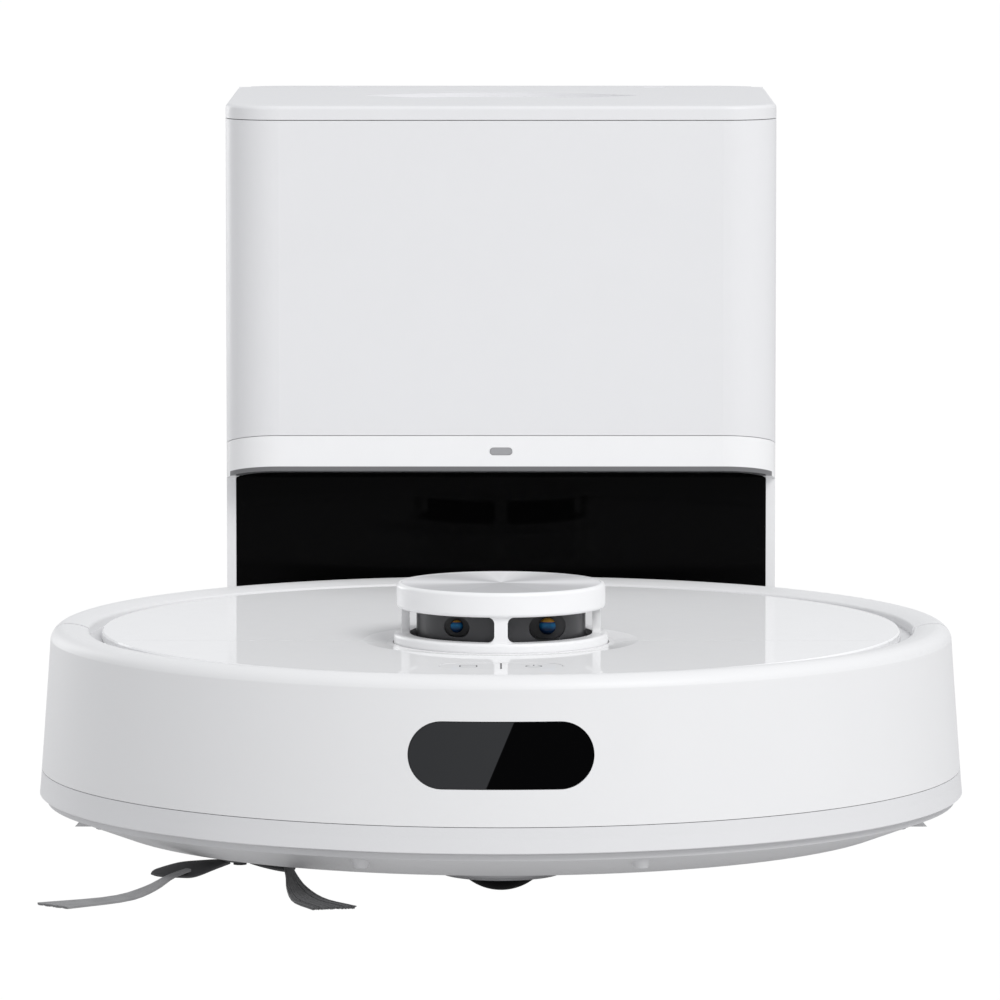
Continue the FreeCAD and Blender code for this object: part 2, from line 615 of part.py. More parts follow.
def make_turret_base():
    top = DECK_Z - DECK_T
    floor_z = 64.0
    tub = cyl(TUB_R + 2, floor_z, top, 0, TURRET_Y)
    tub = tub.cut(cyl(TUB_R, floor_z + 2, top + 1, 0, TURRET_Y))
    post = cyl(POST_R, floor_z + 1, ROTOR_Z0 + 3.5, 0, TURRET_Y)
    thrust = cyl(POST_R + 3, floor_z + 1, ROTOR_Z0 - 10 - 0.2, 0, TURRET_Y)
    motor = cyl(7.0, floor_z - 12, floor_z + 1, PULLEY_X, TURRET_Y)
    tub = tub.fuse([post, thrust, motor])
    tub = tub.cut(cyl(1.0 + RUN, floor_z - 8, BIG, PULLEY_X, TURRET_Y))
    parts["turret_base"] = tub.removeSplitter()
    pulley = cyl(PULLEY_R, floor_z + 3, floor_z + 11, PULLEY_X, TURRET_Y)
    shaft = cyl(1.0, floor_z - 7.8, floor_z + 4, PULLEY_X, TURRET_Y)
    parts["lidar_pulley"] = pulley.fuse(shaft).removeSplitter()
    hub = (0, TURRET_Y)
    drive = (PULLEY_X, TURRET_Y)
    gap = RUN
    outer = loop_z(hub, HUB_R + gap + BELT_T, drive, PULLEY_R + gap + BELT_T, floor_z + 6, floor_z + 9)
    inner = loop_z(hub, HUB_R + gap, drive, PULLEY_R + gap, floor_z + 5, floor_z + 10)
    parts["lidar_belt"] = outer.cut(inner)


# ---- robot: running gear ----
def make_wheels():
    x0 = WHEEL_X - WHEEL_W / 2
    x1 = WHEEL_X + WHEEL_W / 2
    rim = rod_x(RIM_R, x0, x1, 0, WHEEL_R)
    hollow = rod_x(RIM_R - 4, x0 + 12, x1 + 1, 0, WHEEL_R)
    hub = rod_x(AXLE_R + 4, x0, x1, 0, WHEEL_R)
    rim = rim.cut(hollow).fuse(hub)
    spokes = []
    for i in range(5):
        spoke = box(x0 + 12, x1 - 4, -2, 2, WHEEL_R, WHEEL_R + RIM_R - 2)
        spoke.rotate(V(0, 0, WHEEL_R), V(1, 0, 0), 72.0 * i)
        spokes.append(spoke)
    rim = rim.fuse(spokes).cut(rod_x(AXLE_R + RUN, x0 - 1, x1 - 2, 0, WHEEL_R))
    tyre = rod_x(WHEEL_R, x0, x1, 0, WHEEL_R).cut(rod_x(RIM_R + 0.02, x0 - 1, x1 + 1, 0, WHEEL_R))
    grooves = []
    for i in range(LUGS):
        groove = box(x0 - 1, x1 + 1, -1.4, 1.4, 2 * WHEEL_R - LUG_DEPTH, 2 * WHEEL_R + 1)
        groove.rotate(V(0, 0, WHEEL_R), V(1, 0, 0), 360.0 * (i + 0.5) / LUGS)
        grooves.append(groove)
    tyre = tyre.cut(grooves)
    arm_x1 = x0 - 0.6
    arm = chain_x(arm_x1 - ARM_T, arm_x1, (0.0, WHEEL_R), 15.0, (ARM_Y, ARM_Z), 7.5)
    stub = rod_x(AXLE_R, arm_x1 - 1, x1 - 3, 0, WHEEL_R)
    arm = arm.fuse(stub).cut(rod_x(PIVOT_R + RUN, arm_x1 - ARM_T - 1, arm_x1 + 1, ARM_Y, ARM_Z))
    rim = rim.removeSplitter()
    arm = arm.removeSplitter()
    parts["rim_right"] = rim
    parts["tyre_right"] = tyre
    parts["arm_right"] = arm
    parts["rim_left"] = mirrored(rim)
    parts["tyre_left"] = mirrored(tyre)
    parts["arm_left"] = mirrored(arm)


def make_caster():
    wheel_y = CASTER_Y + CASTER_TRAIL
    fork = turned([(0, FORK_Z0), (FORK_TIP_R, FORK_Z0), (FORK_R - 1, BELLY_Z - 0.6), (FORK_R, BELLY_Z + 2),
                   (FORK_R, FORK_Z1), (0, FORK_Z1)], 0, CASTER_Y)
    pocket_w = CASTER_HALF_W + 0.6
    pocket = box(-pocket_w, pocket_w, wheel_y - CASTER_R - 1, wheel_y + CASTER_R + 1, 0, 2 * CASTER_R + 1.5)
    fork = fork.cut(pocket)
    stem = cyl(STEM_R, FORK_Z1 - 1, FORK_Z1 + 12, 0, CASTER_Y)
    fork = fork.fuse(stem)
    pin = rod_x(CASTER_PIN_R, -FORK_TIP_R + 1, FORK_TIP_R - 1, wheel_y, CASTER_R)
    parts["caster_fork"] = fork.cut(pin).removeSplitter()
    parts["caster_axle"] = pin
    end_r = CASTER_R - 4.5
    arc = Part.Arc(V(-CASTER_HALF_W, 0, end_r), V(0, 0, CASTER_R), V(CASTER_HALF_W, 0, end_r)).toShape()
    sides = Part.makePolygon([V(CASTER_HALF_W, 0, end_r), V(CASTER_HALF_W, 0, 0), V(-CASTER_HALF_W, 0, 0),
                              V(-CASTER_HALF_W, 0, end_r)])
    face = Part.Face(Part.Wire([arc] + sides.Edges))
    wheel = face.revolve(V(0, 0, 0), V(1, 0, 0), 360)
    wheel.translate(V(0, wheel_y, CASTER_R))
    parts["caster_wheel"] = wheel.cut(rod_x(CASTER_PIN_R + RUN, -20, 20, wheel_y, CASTER_R))
    cup = cyl(FORK_R + 3, BELLY_Z, FORK_Z1 + 3.5, 0, CASTER_Y)
    cup = cup.cut(cyl(FORK_R + CLEAR, 0, FORK_Z1 + CLEAR, 0, CASTER_Y))
    socket = cyl(STEM_R + 3, FORK_Z1 + 2, FORK_Z1 + 12, 0, CASTER_Y)
    cup = cup.fuse(socket).cut(cyl(STEM_R + RUN, 0, BIG, 0, CASTER_Y))
    flange = tube(FORK_R + 6, FORK_R + 2.5, BELLY_Z + PAN_T, BELLY_Z + PAN_T + 2, 0, CASTER_Y)
    parts["caster_housing"] = cup.fuse(flange).common(cyl(BELLY_R - 1.2, 0, BIG)).removeSplitter()


def make_side_brush():
    hub_z1 = BELLY_Z - 0.5
    hub_z0 = hub_z1 - SB_HUB_T
    hub = cyl(SB_HUB_R, hub_z0, hub_z1, SB_X, SB_Y)
    rim = [e for e in hub.Edges if len(e.Vertexes) == 1 and abs(e.CenterOfMass.z - hub_z0) < 0.01]
    hub = hub.makeFillet(1.6, rim)
    paddles = []
    tufts = []
    for angle, reach in SB_ARMS:
        half_root = 5.0
        half_tip = 3.2
        blade = prism([(SB_HUB_R - 3, -half_root), (PADDLE_L, -half_tip), (PADDLE_L, half_tip),
                       (SB_HUB_R - 3, half_root)], hub_z0 + 0.8, hub_z1 - 0.6)
        tuft_start = wire_yz(PADDLE_L + CLEAR - 0.3, half_tip - 0.4, hub_z0 + 1.3, hub_z1 - 1.1)
        tuft_mid = wire_yz((PADDLE_L + reach) / 2, BRISTLE_FAN * 0.3, 3.4, 5.0)
        tuft_mid.rotate(V(0, 0, 0), V(0, 0, 1), BRISTLE_SWEEP * 0.4)
        tuft_end = wire_yz(reach, BRISTLE_FAN / 2, BRISTLE_FLOOR, BRISTLE_FLOOR + 1.0)
        tuft_end.rotate(V(0, 0, 0), V(0, 0, 1), BRISTLE_SWEEP)
        tuft = Part.makeLoft([tuft_start, tuft_mid, tuft_end], True, True)
        for solid in (blade, tuft):
            solid.rotate(V(0, 0, 0), V(0, 0, 1), angle)
            solid.translate(V(SB_X, SB_Y, 0))
        paddles.append(blade)
        tufts.append(tuft)
    hub = hub.fuse(paddles).cut(cyl(SB_SHAFT_R + RUN, 0, BIG, SB_X, SB_Y))
    screw_hole = cyl(3.2, hub_z0 - 1, hub_z0 + 1.6, SB_X, SB_Y)
    parts["side_brush_hub"] = hub.cut(screw_hole).removeSplitter()
    parts["side_brush_bristles"] = Part.makeCompound(tufts)
    shaft = cyl(SB_SHAFT_R, hub_z0 + 1.6, 16, SB_X, SB_Y)
    can = cyl(SB_CAN_R, SKIRT_Z - 2, 42, SB_X, SB_Y)
    nose = cyl(SB_SHAFT_R + 4, BELLY_Z + PAN_T, SKIRT_Z, SB_X, SB_Y)
    parts["side_brush_motor"] = can.fuse([nose, shaft]).removeSplitter()


def wire_yz(x, half, z0, z1):
    corners = [V(x, -half, z0), V(x, half, z0), V(x, half, z1), V(x, -half, z1)]
    return Part.makePolygon(corners + [corners[0]])


def make_main_brush():
    half = MB_LEN / 2
    core = rod_x(MB_CORE_R, -half, half, 0, MB_Z)
    fins = []
    steps = 5
    for i in range(MB_FINS):
        for side in (-1, 1):
            wires = []
            for k in range(steps + 1):
                x = side * half * k / steps
                angle = math.radians(360.0 * i / MB_FINS + MB_TWIST * k / steps)
                wires.append(fin_section(x, angle))
            fins.append(Part.makeLoft(wires, True, True))
    brush = core.fuse(fins)
    stub = rod_x(MB_STUB_R, -half - 3, half + 3, 0, MB_Z)
    parts["main_brush"] = brush.fuse(stub)
    wide = HOUSING_W / 2
    deep = HOUSING_D / 2
    shell = box(-wide, wide, -deep, deep, BELLY_Z, HOUSING_Z1)
    cave = rod_x(MB_R + 2.2, -half - 1, half + 1, 0, MB_Z)
    cave = cave.fuse(box(-half - 1, half + 1, -MB_R - 2.2, MB_R + 2.2, 0, MB_Z))
    shell = shell.cut([cave, rod_x(MB_STUB_R + RUN, -half - 3.5, half + 3.5, 0, MB_Z)])
    throat = box(-36, 36, 0, deep + 1, DUCT_Z0, 40)
    collar = box(-38, 38, deep - 1, BIN_Y0 - CLEAR, DUCT_Z0 - 2, 42).cut(box(-36, 36, 0, 60, DUCT_Z0, 40))
    parts["brush_housing"] = shell.cut(throat).fuse(collar).removeSplitter()
    cover = box(-wide + 2, wide - 2, -deep + 1, deep - 1, BELLY_Z - COVER_T, BELLY_Z)
    mouth = box(-half - 1, half + 1, -MB_R + 1, MB_R - 1, 0, BELLY_Z + 1)
    bars = []
    for i in range(5):
        x = -half + MB_LEN * (i + 0.5) / 5
        bars.append(box(x - 1, x + 1, -MB_R, MB_R, BELLY_Z - COVER_T, BELLY_Z - COVER_T + 1.2))
    guard = rod_x(MB_R + 0.6, -half - 2, half + 2, 0, MB_Z)
    cover = cover.cut(mouth).fuse(bars).cut(guard)
    parts["brush_cover"] = largest_parts(cover)
    motor = rod_x(11.0, -84, -48, 14, HOUSING_Z1 + 11)
    foot = box(-84, -50, 6, 22, HOUSING_Z1, HOUSING_Z1 + 6)
    parts["brush_motor"] = motor.fuse(foot).removeSplitter()


def largest_parts(shape):
    solids = sorted(shape.Solids, key=lambda s: -s.Volume)
    return solids[0]


def fin_section(x, angle):
    """Rectangle across a fin of the main brush at station x."""
    out = (math.cos(angle), math.sin(angle))
    across = (-out[1], out[0])
    corners = []
    for r, s in ((MB_CORE_R - 2, -0.9), (MB_R, -0.7), (MB_R, 0.7), (MB_CORE_R - 2, 0.9)):
        corners.append(V(x, r * out[0] + s * across[0], MB_Z + r * out[1] + s * across[1]))
    return Part.makePolygon(corners + [corners[0]])


# ---- robot: insides ----
def make_insides():
    shell = rounded_box(BIN_X0, BIN_X1, BIN_Y0, BIN_Y1, BIN_Z0, BIN_Z1, 6)
    inside = box(BIN_X0 + BIN_T, BIN_X1 - 14, BIN_Y0 + BIN_T, BIN_Y1 - BIN_T, BIN_Z0 + BIN_T, BIN_Z1 - BIN_T)
    inlet = box(-36, 36, BIN_Y0 - 1, BIN_Y0 + 5, DUCT_Z0, 40)
    outlet = duct_bore(BIN_Y1 - 5, BIN_Y1 + 1)
    seat = box(BIN_X1 - 15, BIN_X1 + 1, 62, 116, 28, 66)
    parts["dustbin"] = shell.cut([inside, inlet, outlet, seat])
    parts["bin_filter"] = box(BIN_X1 - 13.9, BIN_X1 - 0.5, 62, 116, 28, 66)
    x, y = FAN_X, FAN_Y
    housing = cyl(FAN_R, FAN_Z0, FAN_Z1, x, y).cut(cyl(IMPELLER_R + 1.5, FAN_Z0 + 10, FAN_Z1 - 2, x, y))
    eye = cyl(12, FAN_Z1 - 3, FAN_Z1 + 1, x, y)
    housing = housing.cut([eye, cyl(2.0 + RUN, FAN_Z0 + 4, FAN_Z0 + 12, x, y)])
    parts["fan_housing"] = housing
    parts["fan_impeller"] = impeller(x, y, FAN_Z0 + 11, IMPELLER_R, 16.0, 2.0, 7.0, FAN_Z0 + 4.2)
    parts["battery"] = rounded_box(-40, 40, -95, -30, 14, 44, 5)
    windows = []
    for angle in (-150.0, -115.0, -65.0, -30.0):
        wx = (BELLY_R - 11) * math.cos(math.radians(angle))
        wy = (BELLY_R - 11) * math.sin(math.radians(angle))
        block = pill(16, 7, BELLY_Z - 0.6, BELLY_Z, 0, 0)
        block.rotate(V(0, 0, 0), V(0, 0, 1), angle + 90)
        block.translate(V(wx, wy, 0))
        windows.append(block)
    parts["cliff_windows"] = Part.makeCompound(windows)
    screws = []
    for x, y in ((-70, -60), (70, -60), (70, -105), (-60, 44), (60, 44)):
        head = cyl(3.4, BELLY_Z - 0.8, BELLY_Z, x, y)
        slot = box(x - 2, x + 2, y - 0.4, y + 0.4, 0, BELLY_Z - 0.3)
        cross = box(x - 0.4, x + 0.4, y - 2, y + 2, 0, BELLY_Z - 0.3)
        screws.append(head.cut([slot, cross]))
    parts["chassis_screws"] = Part.makeCompound(screws)


def impeller(x, y, z0, r, height, bore_r, blades, shaft_z0):
    """Backplate, hub and curved-back blades on a shaft."""
    wheel = cyl(r, z0, z0 + 2, x, y)
    hub = cyl(5.0, z0, z0 + height * 0.7, x, y)
    vanes = []
    for i in range(int(blades)):
        vane = box(3, r - 1, -0.8, 0.8, z0 + 1, z0 + height)
        vane.rotate(V(r - 1, 0, 0), V(0, 0, 1), 24)
        vane.rotate(V(0, 0, 0), V(0, 0, 1), 360.0 * i / blades)
        vane.translate(V(x, y, 0))
        vanes.append(vane)
    shaft = cyl(bore_r, shaft_z0, z0 + 1, x, y)
    keep = cyl(r, z0 - 20, z0 + height, x, y)
    return wheel.fuse([hub, shaft] + vanes).common(keep.fuse(shaft)).removeSplitter()


def make_mop():
    low = mop_outline(0, MOP_BOTTOM_R)
    height = MOP_Z1 - MOP_Z0
    cone = turned([(0, MOP_Z0), (MOP_BOTTOM_R, MOP_Z0), (MOP_TOP_R, MOP_Z1), (0, MOP_Z1)])
    matrix = FreeCAD.Matrix()
    matrix.scale(1, 1, height)
    stretched = low.transformGeometry(matrix)
    stretched.translate(V(0, 0, MOP_Z0))
    parts["mop_bracket"] = stretched.common(cone)
    cloth = mop_outline(-6, MOP_BOTTOM_R)
    matrix = FreeCAD.Matrix()
    matrix.scale(1, 1, MOP_Z0 - CLOTH_Z0)
    cloth = cloth.transformGeometry(matrix)
    cloth.translate(V(0, 0, CLOTH_Z0))
    parts["mop_cloth"] = cloth


# ---- dock ----
def dock_block(z0, z1, inset=0.0):
    half = DOCK_W / 2 - inset
    return rounded_box(-half, half, DOCK_Y0 + inset, DOCK_Y1 - inset, z0, z1, DOCK_CORNER - inset)


def below_slope(z_front):
    """Everything under a plane that falls towards the back from z_front at the dock's front face."""
    fall = math.tan(math.radians(SLOPE)) * DOCK_DEPTH * 1.5
    y0 = DOCK_Y0 - DOCK_DEPTH * 0.5
    y1 = DOCK_Y0 + DOCK_DEPTH * 1.5
    rise = math.tan(math.radians(SLOPE)) * DOCK_DEPTH * 0.5
    points = [(-BIG, y0, -BIG), (-BIG, y0, z_front + rise), (-BIG, y1, z_front - fall), (-BIG, y1, -BIG)]
    return polygon_face(points).extrude(V(2 * BIG, 0, 0))


def make_dock_shells():
    panel_y = DOCK_Y0 + RECESS
    upper = dock_block(80, DOCK_SEAM_Z).cut(dock_block(79, DOCK_SEAM_Z + 1, DOCK_T))
    upper = upper.cut(below_slope(BAND_TOP + SEAM_GAP))
    strip_y = DOCK_AXIS_Y + (DOCK_Z1 - DOCK_SEAM_Z) / 2 + 0.4
    strip = dock_block(DOCK_SEAM_Z - 8, DOCK_Z1).common(box(-BIG, BIG, strip_y, BIG, 0, BIG))
    lugs = [box(s * DOCK_LUG_X - 4.5, s * DOCK_LUG_X + 4.5, DOCK_AXIS_Y - 2.6, strip_y + 1,
                DOCK_SEAM_Z - 8, DOCK_Z1 - 0.6) for s in (-1, 1)]
    ledge = box(-DOCK_LUG_X - 5, DOCK_LUG_X + 5, DOCK_AXIS_Y - 2.6, DOCK_Y1 - 1,
                DOCK_SEAM_Z - 8, DOCK_SEAM_Z - 5)
    upper = upper.fuse([strip, ledge] + lugs)
    axis_z = (DOCK_Z1 + DOCK_SEAM_Z + DOCK_LID_GAP) / 2
    upper = upper.cut(rod_x(DOCK_PIN_R, -DOCK_LUG_X - 15, DOCK_LUG_X + 15, DOCK_AXIS_Y, axis_z))
    parts["dock_housing"] = upper.removeSplitter()
    parts["dock_hinge_pin"] = rod_x(DOCK_PIN_R, -DOCK_LUG_X - 4.5, DOCK_LUG_X + 4.5, DOCK_AXIS_Y, axis_z)

    lower = dock_block(DOCK_FLOOR_Z, 160).cut(dock_block(DOCK_FLOOR_Z + 3, 161, DOCK_T))
    lower = lower.common(below_slope(BAND_TOP))
    mouth = below_slope(BAND_BOTTOM).common(box(-BIG, BIG, 0, panel_y, -BIG, BIG))
    lower = lower.cut(mouth)
    shelf_z = BAND_BOTTOM - 40
    shelf = box(-DOCK_W / 2 + 2, DOCK_W / 2 - 2, panel_y + PANEL_T + 3, DOCK_Y1 - 2, shelf_z, shelf_z + 3)
    duct = box(-RISER_W / 2, RISER_W / 2, panel_y + PANEL_T, panel_y + PANEL_T + RISER_D,
               DUCT_Z0 - 4, BAG_MOUTH_Z + 27)
    duct_hole = box(-RISER_W / 2 + 3, RISER_W / 2 - 3, panel_y + PANEL_T + 3, panel_y + PANEL_T + RISER_D - 3,
                    DUCT_Z0 - 1, BAG_MOUTH_Z + 24)
    entry = duct_bore(panel_y, panel_y + PANEL_T + 5)
    outlet = rod_y(16, panel_y + PANEL_T + RISER_D - 10, panel_y + PANEL_T + RISER_D + 10, 0, BAG_MOUTH_Z)
    fan_seat = cyl(DOCK_FAN_R - 10, DOCK_FLOOR_Z + 1, 20, DOCK_FAN_X, DOCK_FAN_Y)
    inside = dock_block(DOCK_FLOOR_Z, 300, 0.5)
    lower = lower.fuse([shelf.common(inside), duct, fan_seat]).cut([duct_hole, entry, outlet])
    led_z = (BAND_TOP + BAND_BOTTOM) / 2 + 0.8
    lower = lower.cut([rod_y(7, DOCK_Y1 - 10, DOCK_Y1 + 1, INLET_X, INLET_Z),
                       pill_y(DOCK_LED_W + 0.3, DOCK_LED_H + 0.3, 0, DOCK_Y0 + 6, 0, led_z)])
    parts["dock_lower_body"] = lower.removeSplitter()
    parts["dock_led"] = pill_y(DOCK_LED_W, DOCK_LED_H, DOCK_Y0 + 0.1, DOCK_Y0 + DOCK_T, 0, led_z)


def make_dock_lid():
    z0 = DOCK_SEAM_Z + DOCK_LID_GAP
    axis_z = (DOCK_Z1 + z0) / 2
    r = (DOCK_Z1 - z0) / 2
    lid = dock_block(z0, DOCK_Z1)
    top = [e for e in lid.Edges if abs(e.BoundBox.ZMin - DOCK_Z1) + abs(e.BoundBox.ZMax - DOCK_Z1) < 0.01]
    lid = lid.makeFillet(1.6, top)
    lid = lid.common(box(-BIG, BIG, -BIG, DOCK_AXIS_Y, 0, BIG))
    lid = lid.fuse(rod_x(r - 0.02, -DOCK_W / 2 + 0.6, DOCK_W / 2 - 0.6, DOCK_AXIS_Y, axis_z))
    bulge = (DOCK_DISH_W ** 2 / 4 + DOCK_DISH_D ** 2 / 4) / DOCK_DISH_D
    offset = bulge - DOCK_DISH_D / 2
    lens = cyl(bulge, DOCK_Z1 - DOCK_DISH_DEPTH, DOCK_Z1 + 5, 0, DOCK_DISH_Y - offset)
    lens = lens.common(cyl(bulge, DOCK_Z1 - DOCK_DISH_DEPTH, DOCK_Z1 + 5, 0, DOCK_DISH_Y + offset))
    notches = [box(s * DOCK_LUG_X - 4.9, s * DOCK_LUG_X + 4.9, DOCK_AXIS_Y - 5.0, BIG, 0, BIG)
               for s in (-1, 1)]
    pin_bore = rod_x(DOCK_PIN_R + RUN, -DOCK_LUG_X - 25, DOCK_LUG_X + 25, DOCK_AXIS_Y, axis_z)
    lid = lid.cut([lens, pin_bore] + notches)
    parts["dock_lid"] = lid.removeSplitter()


def make_dock_panel():
    panel_y = DOCK_Y0 + RECESS
    half = DOCK_W / 2 - DOCK_T - 0.2
    slab = box(-half, half, panel_y, panel_y + PANEL_T, DOCK_FLOOR_Z + 3, 200)
    hood = box(-half, half, DOCK_Y0 + DOCK_T + 0.2, panel_y + 1, 60, 200)
    hood = hood.cut(below_slope(BAND_BOTTOM + 0.4)).common(below_slope(BAND_BOTTOM + 2.4))
    corner = dock_block(0, 300, DOCK_T + 0.2)
    slab = slab.common(below_slope(BAND_BOTTOM + 2.4))
    panel = slab.fuse(hood).common(corner)
    cuts = [duct_bore(0, BIG)]
    for x in (-CONTACT_X, CONTACT_X):
        cuts.append(box(x - CONTACT_W / 2 - 0.2, x + CONTACT_W / 2 + 0.2, 0, BIG,
                        CONTACT_Z - CONTACT_H / 2 - 0.2, CONTACT_Z + CONTACT_H / 2 + 0.2))
    parts["dock_panel"] = panel.cut(cuts).removeSplitter()


def make_dock_insides():
    panel_y = DOCK_Y0 + RECESS
    mouth = box(-DUCT_W / 2 - 1, DUCT_W / 2 + 1, panel_y - GASKET_T, panel_y, DUCT_Z0 - 1, DUCT_Z1 + 1)
    parts["suction_gasket"] = mouth.cut(duct_bore(0, BIG))
    pads = []
    for x in (-CONTACT_X, CONTACT_X):
        near = math.sqrt(BODY_R ** 2 - (abs(x) - CONTACT_W / 2) ** 2)
        pads.append(box(x - CONTACT_W / 2, x + CONTACT_W / 2, near + 0.4, panel_y + PANEL_T + 4,
                        CONTACT_Z - CONTACT_H / 2, CONTACT_Z + CONTACT_H / 2))
    low_bar = box(-CONTACT_X - 6, CONTACT_X + 6, panel_y + PANEL_T + 1.0, panel_y + PANEL_T + 3.0,
                  CONTACT_Z - 22, CONTACT_Z - 16)
    legs = [box(x - 5, x + 5, panel_y + PANEL_T + 1.0, panel_y + PANEL_T + 3.0, CONTACT_Z - 17, CONTACT_Z)
            for x in (-CONTACT_X, CONTACT_X)]
    parts["dock_contacts"] = pads[0].fuse([pads[1], low_bar] + legs).removeSplitter()
    bag_y0 = panel_y + PANEL_T + RISER_D + CLEAR
    half = DOCK_W / 2 - BAG_SIDE
    bag = rounded_box(-half, half, bag_y0 + 3, DOCK_Y1 - DOCK_T - 4, BAG_Z0, BAG_Z1, 14)
    collar = box(-40, 40, bag_y0, bag_y0 + 3.5, BAG_MOUTH_Z - 38, BAG_MOUTH_Z + 38)
    hollow = rounded_box(-half + BAG_T, half - BAG_T, bag_y0 + 3 + BAG_T, DOCK_Y1 - DOCK_T - 4 - BAG_T,
                         BAG_Z0 + BAG_T, BAG_Z1 - BAG_T, 14 - BAG_T)
    bag = bag.fuse(collar).cut([hollow, rod_y(14, bag_y0 - 1, bag_y0 + 12, 0, BAG_MOUTH_Z)])
    parts["dust_bag"] = bag.removeSplitter()
    x, y = DOCK_FAN_X, DOCK_FAN_Y
    housing = cyl(DOCK_FAN_R, 20, 72, x, y).cut(cyl(34.5, 40, 70, x, y))
    housing = housing.cut([cyl(16, 69, 80, x, y), cyl(3 + RUN, 30, 42, x, y)])
    parts["dock_fan_housing"] = housing
    parts["dock_impeller"] = impeller(x, y, 41, 33, 24.0, 3.0, 9.0, 30.2)
    inlet = rod_y(6.9, DOCK_Y1 - 14, DOCK_Y1 - 0.3, INLET_X, INLET_Z)
    inlet = inlet.cut(rod_y(5.0, DOCK_Y1 - 9, DOCK_Y1 + 1, INLET_X, INLET_Z))
    pins = [rod_y(1.0, DOCK_Y1 - 10, DOCK_Y1 - 3, INLET_X + s * 2.2, INLET_Z) for s in (-1, 1)]
    parts["power_inlet"] = inlet.fuse(pins).removeSplitter()
    foot_x = DOCK_W / 2 - FOOT_SIDE
    feet = [cyl(FOOT_R, 0, DOCK_FLOOR_Z, s * foot_x, y)
            for s in (-1, 1) for y in (panel_y + 18, DOCK_Y1 - 22)]
    parts["dock_feet"] = Part.makeCompound(feet)


for step in (make_shells, make_charging_contacts, make_chassis, make_deck, make_top, make_keys,
             make_turret, make_rotor, make_turret_base, make_wheels, make_caster, make_side_brush,
             make_main_brush, make_insides, make_mop, make_dock_shells, make_dock_lid, make_dock_panel,
             make_dock_insides):
    step()

os.makedirs("parts", exist_ok=True)
for name, shape in parts.items():
    shape.translate(V(0, -MID_Y, 0))
    shape.exportStep("parts/" + name + ".step")
    print(name, len(shape.Solids), shape.isValid(), round(shape.Volume / 1000, 2))
print("nodes", len(parts), "mid", MID_Y)
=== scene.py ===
import math

import bmesh
import bpy
import numpy as np
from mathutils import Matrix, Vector, noise


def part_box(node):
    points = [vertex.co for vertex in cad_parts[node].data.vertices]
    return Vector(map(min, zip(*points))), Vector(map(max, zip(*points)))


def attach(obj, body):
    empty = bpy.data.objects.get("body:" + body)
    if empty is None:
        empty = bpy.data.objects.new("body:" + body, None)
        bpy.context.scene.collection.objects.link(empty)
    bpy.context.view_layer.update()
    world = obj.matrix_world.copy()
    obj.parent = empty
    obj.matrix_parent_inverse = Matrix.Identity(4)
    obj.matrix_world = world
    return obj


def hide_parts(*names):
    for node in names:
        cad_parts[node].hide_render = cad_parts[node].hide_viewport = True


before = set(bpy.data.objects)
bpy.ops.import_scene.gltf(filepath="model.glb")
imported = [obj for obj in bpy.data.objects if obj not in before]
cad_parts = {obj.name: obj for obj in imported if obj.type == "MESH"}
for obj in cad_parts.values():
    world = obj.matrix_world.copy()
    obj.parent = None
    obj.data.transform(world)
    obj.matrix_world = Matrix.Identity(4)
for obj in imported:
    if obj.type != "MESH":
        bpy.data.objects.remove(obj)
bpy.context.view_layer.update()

# Shapes are worked out in millimetres about the robot's own axis (front towards -Y) and are put
# into the shared frame, in metres, by place().
MM = 0.001
deck_low, deck_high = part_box("deck")
AXIS_Y = (deck_low.y + deck_high.y) / 2


def cad(node):
    """Lowest and highest corners of a CAD node in millimetres about the robot's axis."""
    low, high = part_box(node)
    shift = Vector((0, AXIS_Y, 0))
    return (low - shift) / MM, (high - shift) / MM


def place(points):
    """Millimetres about the robot's axis to metres in the shared frame."""
    out = np.array(points, float).reshape(-1, 3) * MM
    out[:, 1] += AXIS_Y
    return out


# ---------------------------------------------------------------- sizes, millimetres
WINDOW_LOW, WINDOW_HIGH = cad("bumper_window")
CAGE_LOW, CAGE_HIGH = cad("turret_cage")
LENS_LOW, LENS_HIGH = cad("rotor_lenses")
WINDOW_W = WINDOW_HIGH.x - WINDOW_LOW.x
WINDOW_Z = (WINDOW_HIGH.z + WINDOW_LOW.z) / 2
TURRET_Y = (CAGE_LOW.y + CAGE_HIGH.y) / 2
BRUSH_X = -97.0           # side brush axis
BRUSH_Y = -102.0
BLADE_T = 1.7             # side brush blades
STRAND_R = 0.2
STRANDS = 230             # in each bundle
CASTER_Y = -125.0         # caster swivel axis
LIP_Z = 7.0               # where the fork's lower lip is cut back to
LIP_OLD_R = 17.0          # the lip's radius before that
LIP_NEW_R = 20.0          # and after it
LED_GROW = 0.28           # how far the light bar fills the gap on each side
LED_LINE_HALF = 0.42      # half widths of the printed lines
ICON_LINE_HALF = 0.30
BAND_EDGE_Z = 128.6        # lower front edge of the dock's white band
BAND_FALL = 13.5          # fall of that edge towards the back, degrees
BAND_SHADE_H = 2.2          # height of the painted shade strip along it, and how far back that strip reaches
BAND_SHADE_DEPTH = 14.0
LENS_DISTANCE = 7764.0    # camera distance at which one millimetre fills one thousandth of the frame
CAMERA_DISTANCE = 2975.0
CAMERA_HEIGHT = 425.0
CAMERA_DROP = 763.0       # the view's centre below the camera's level, at LENS_DISTANCE
CAMERA_TURN = -0.00013    # to the right, radians
FLOOR_HALF = 12.0         # metres

GLOSS_IOR = 1.055         # weak mirror of the white gloss plastic
ICON_INK = (0.16, 0.16, 0.17, 1)
LED_INK = (0.10, 0.10, 0.105, 1)


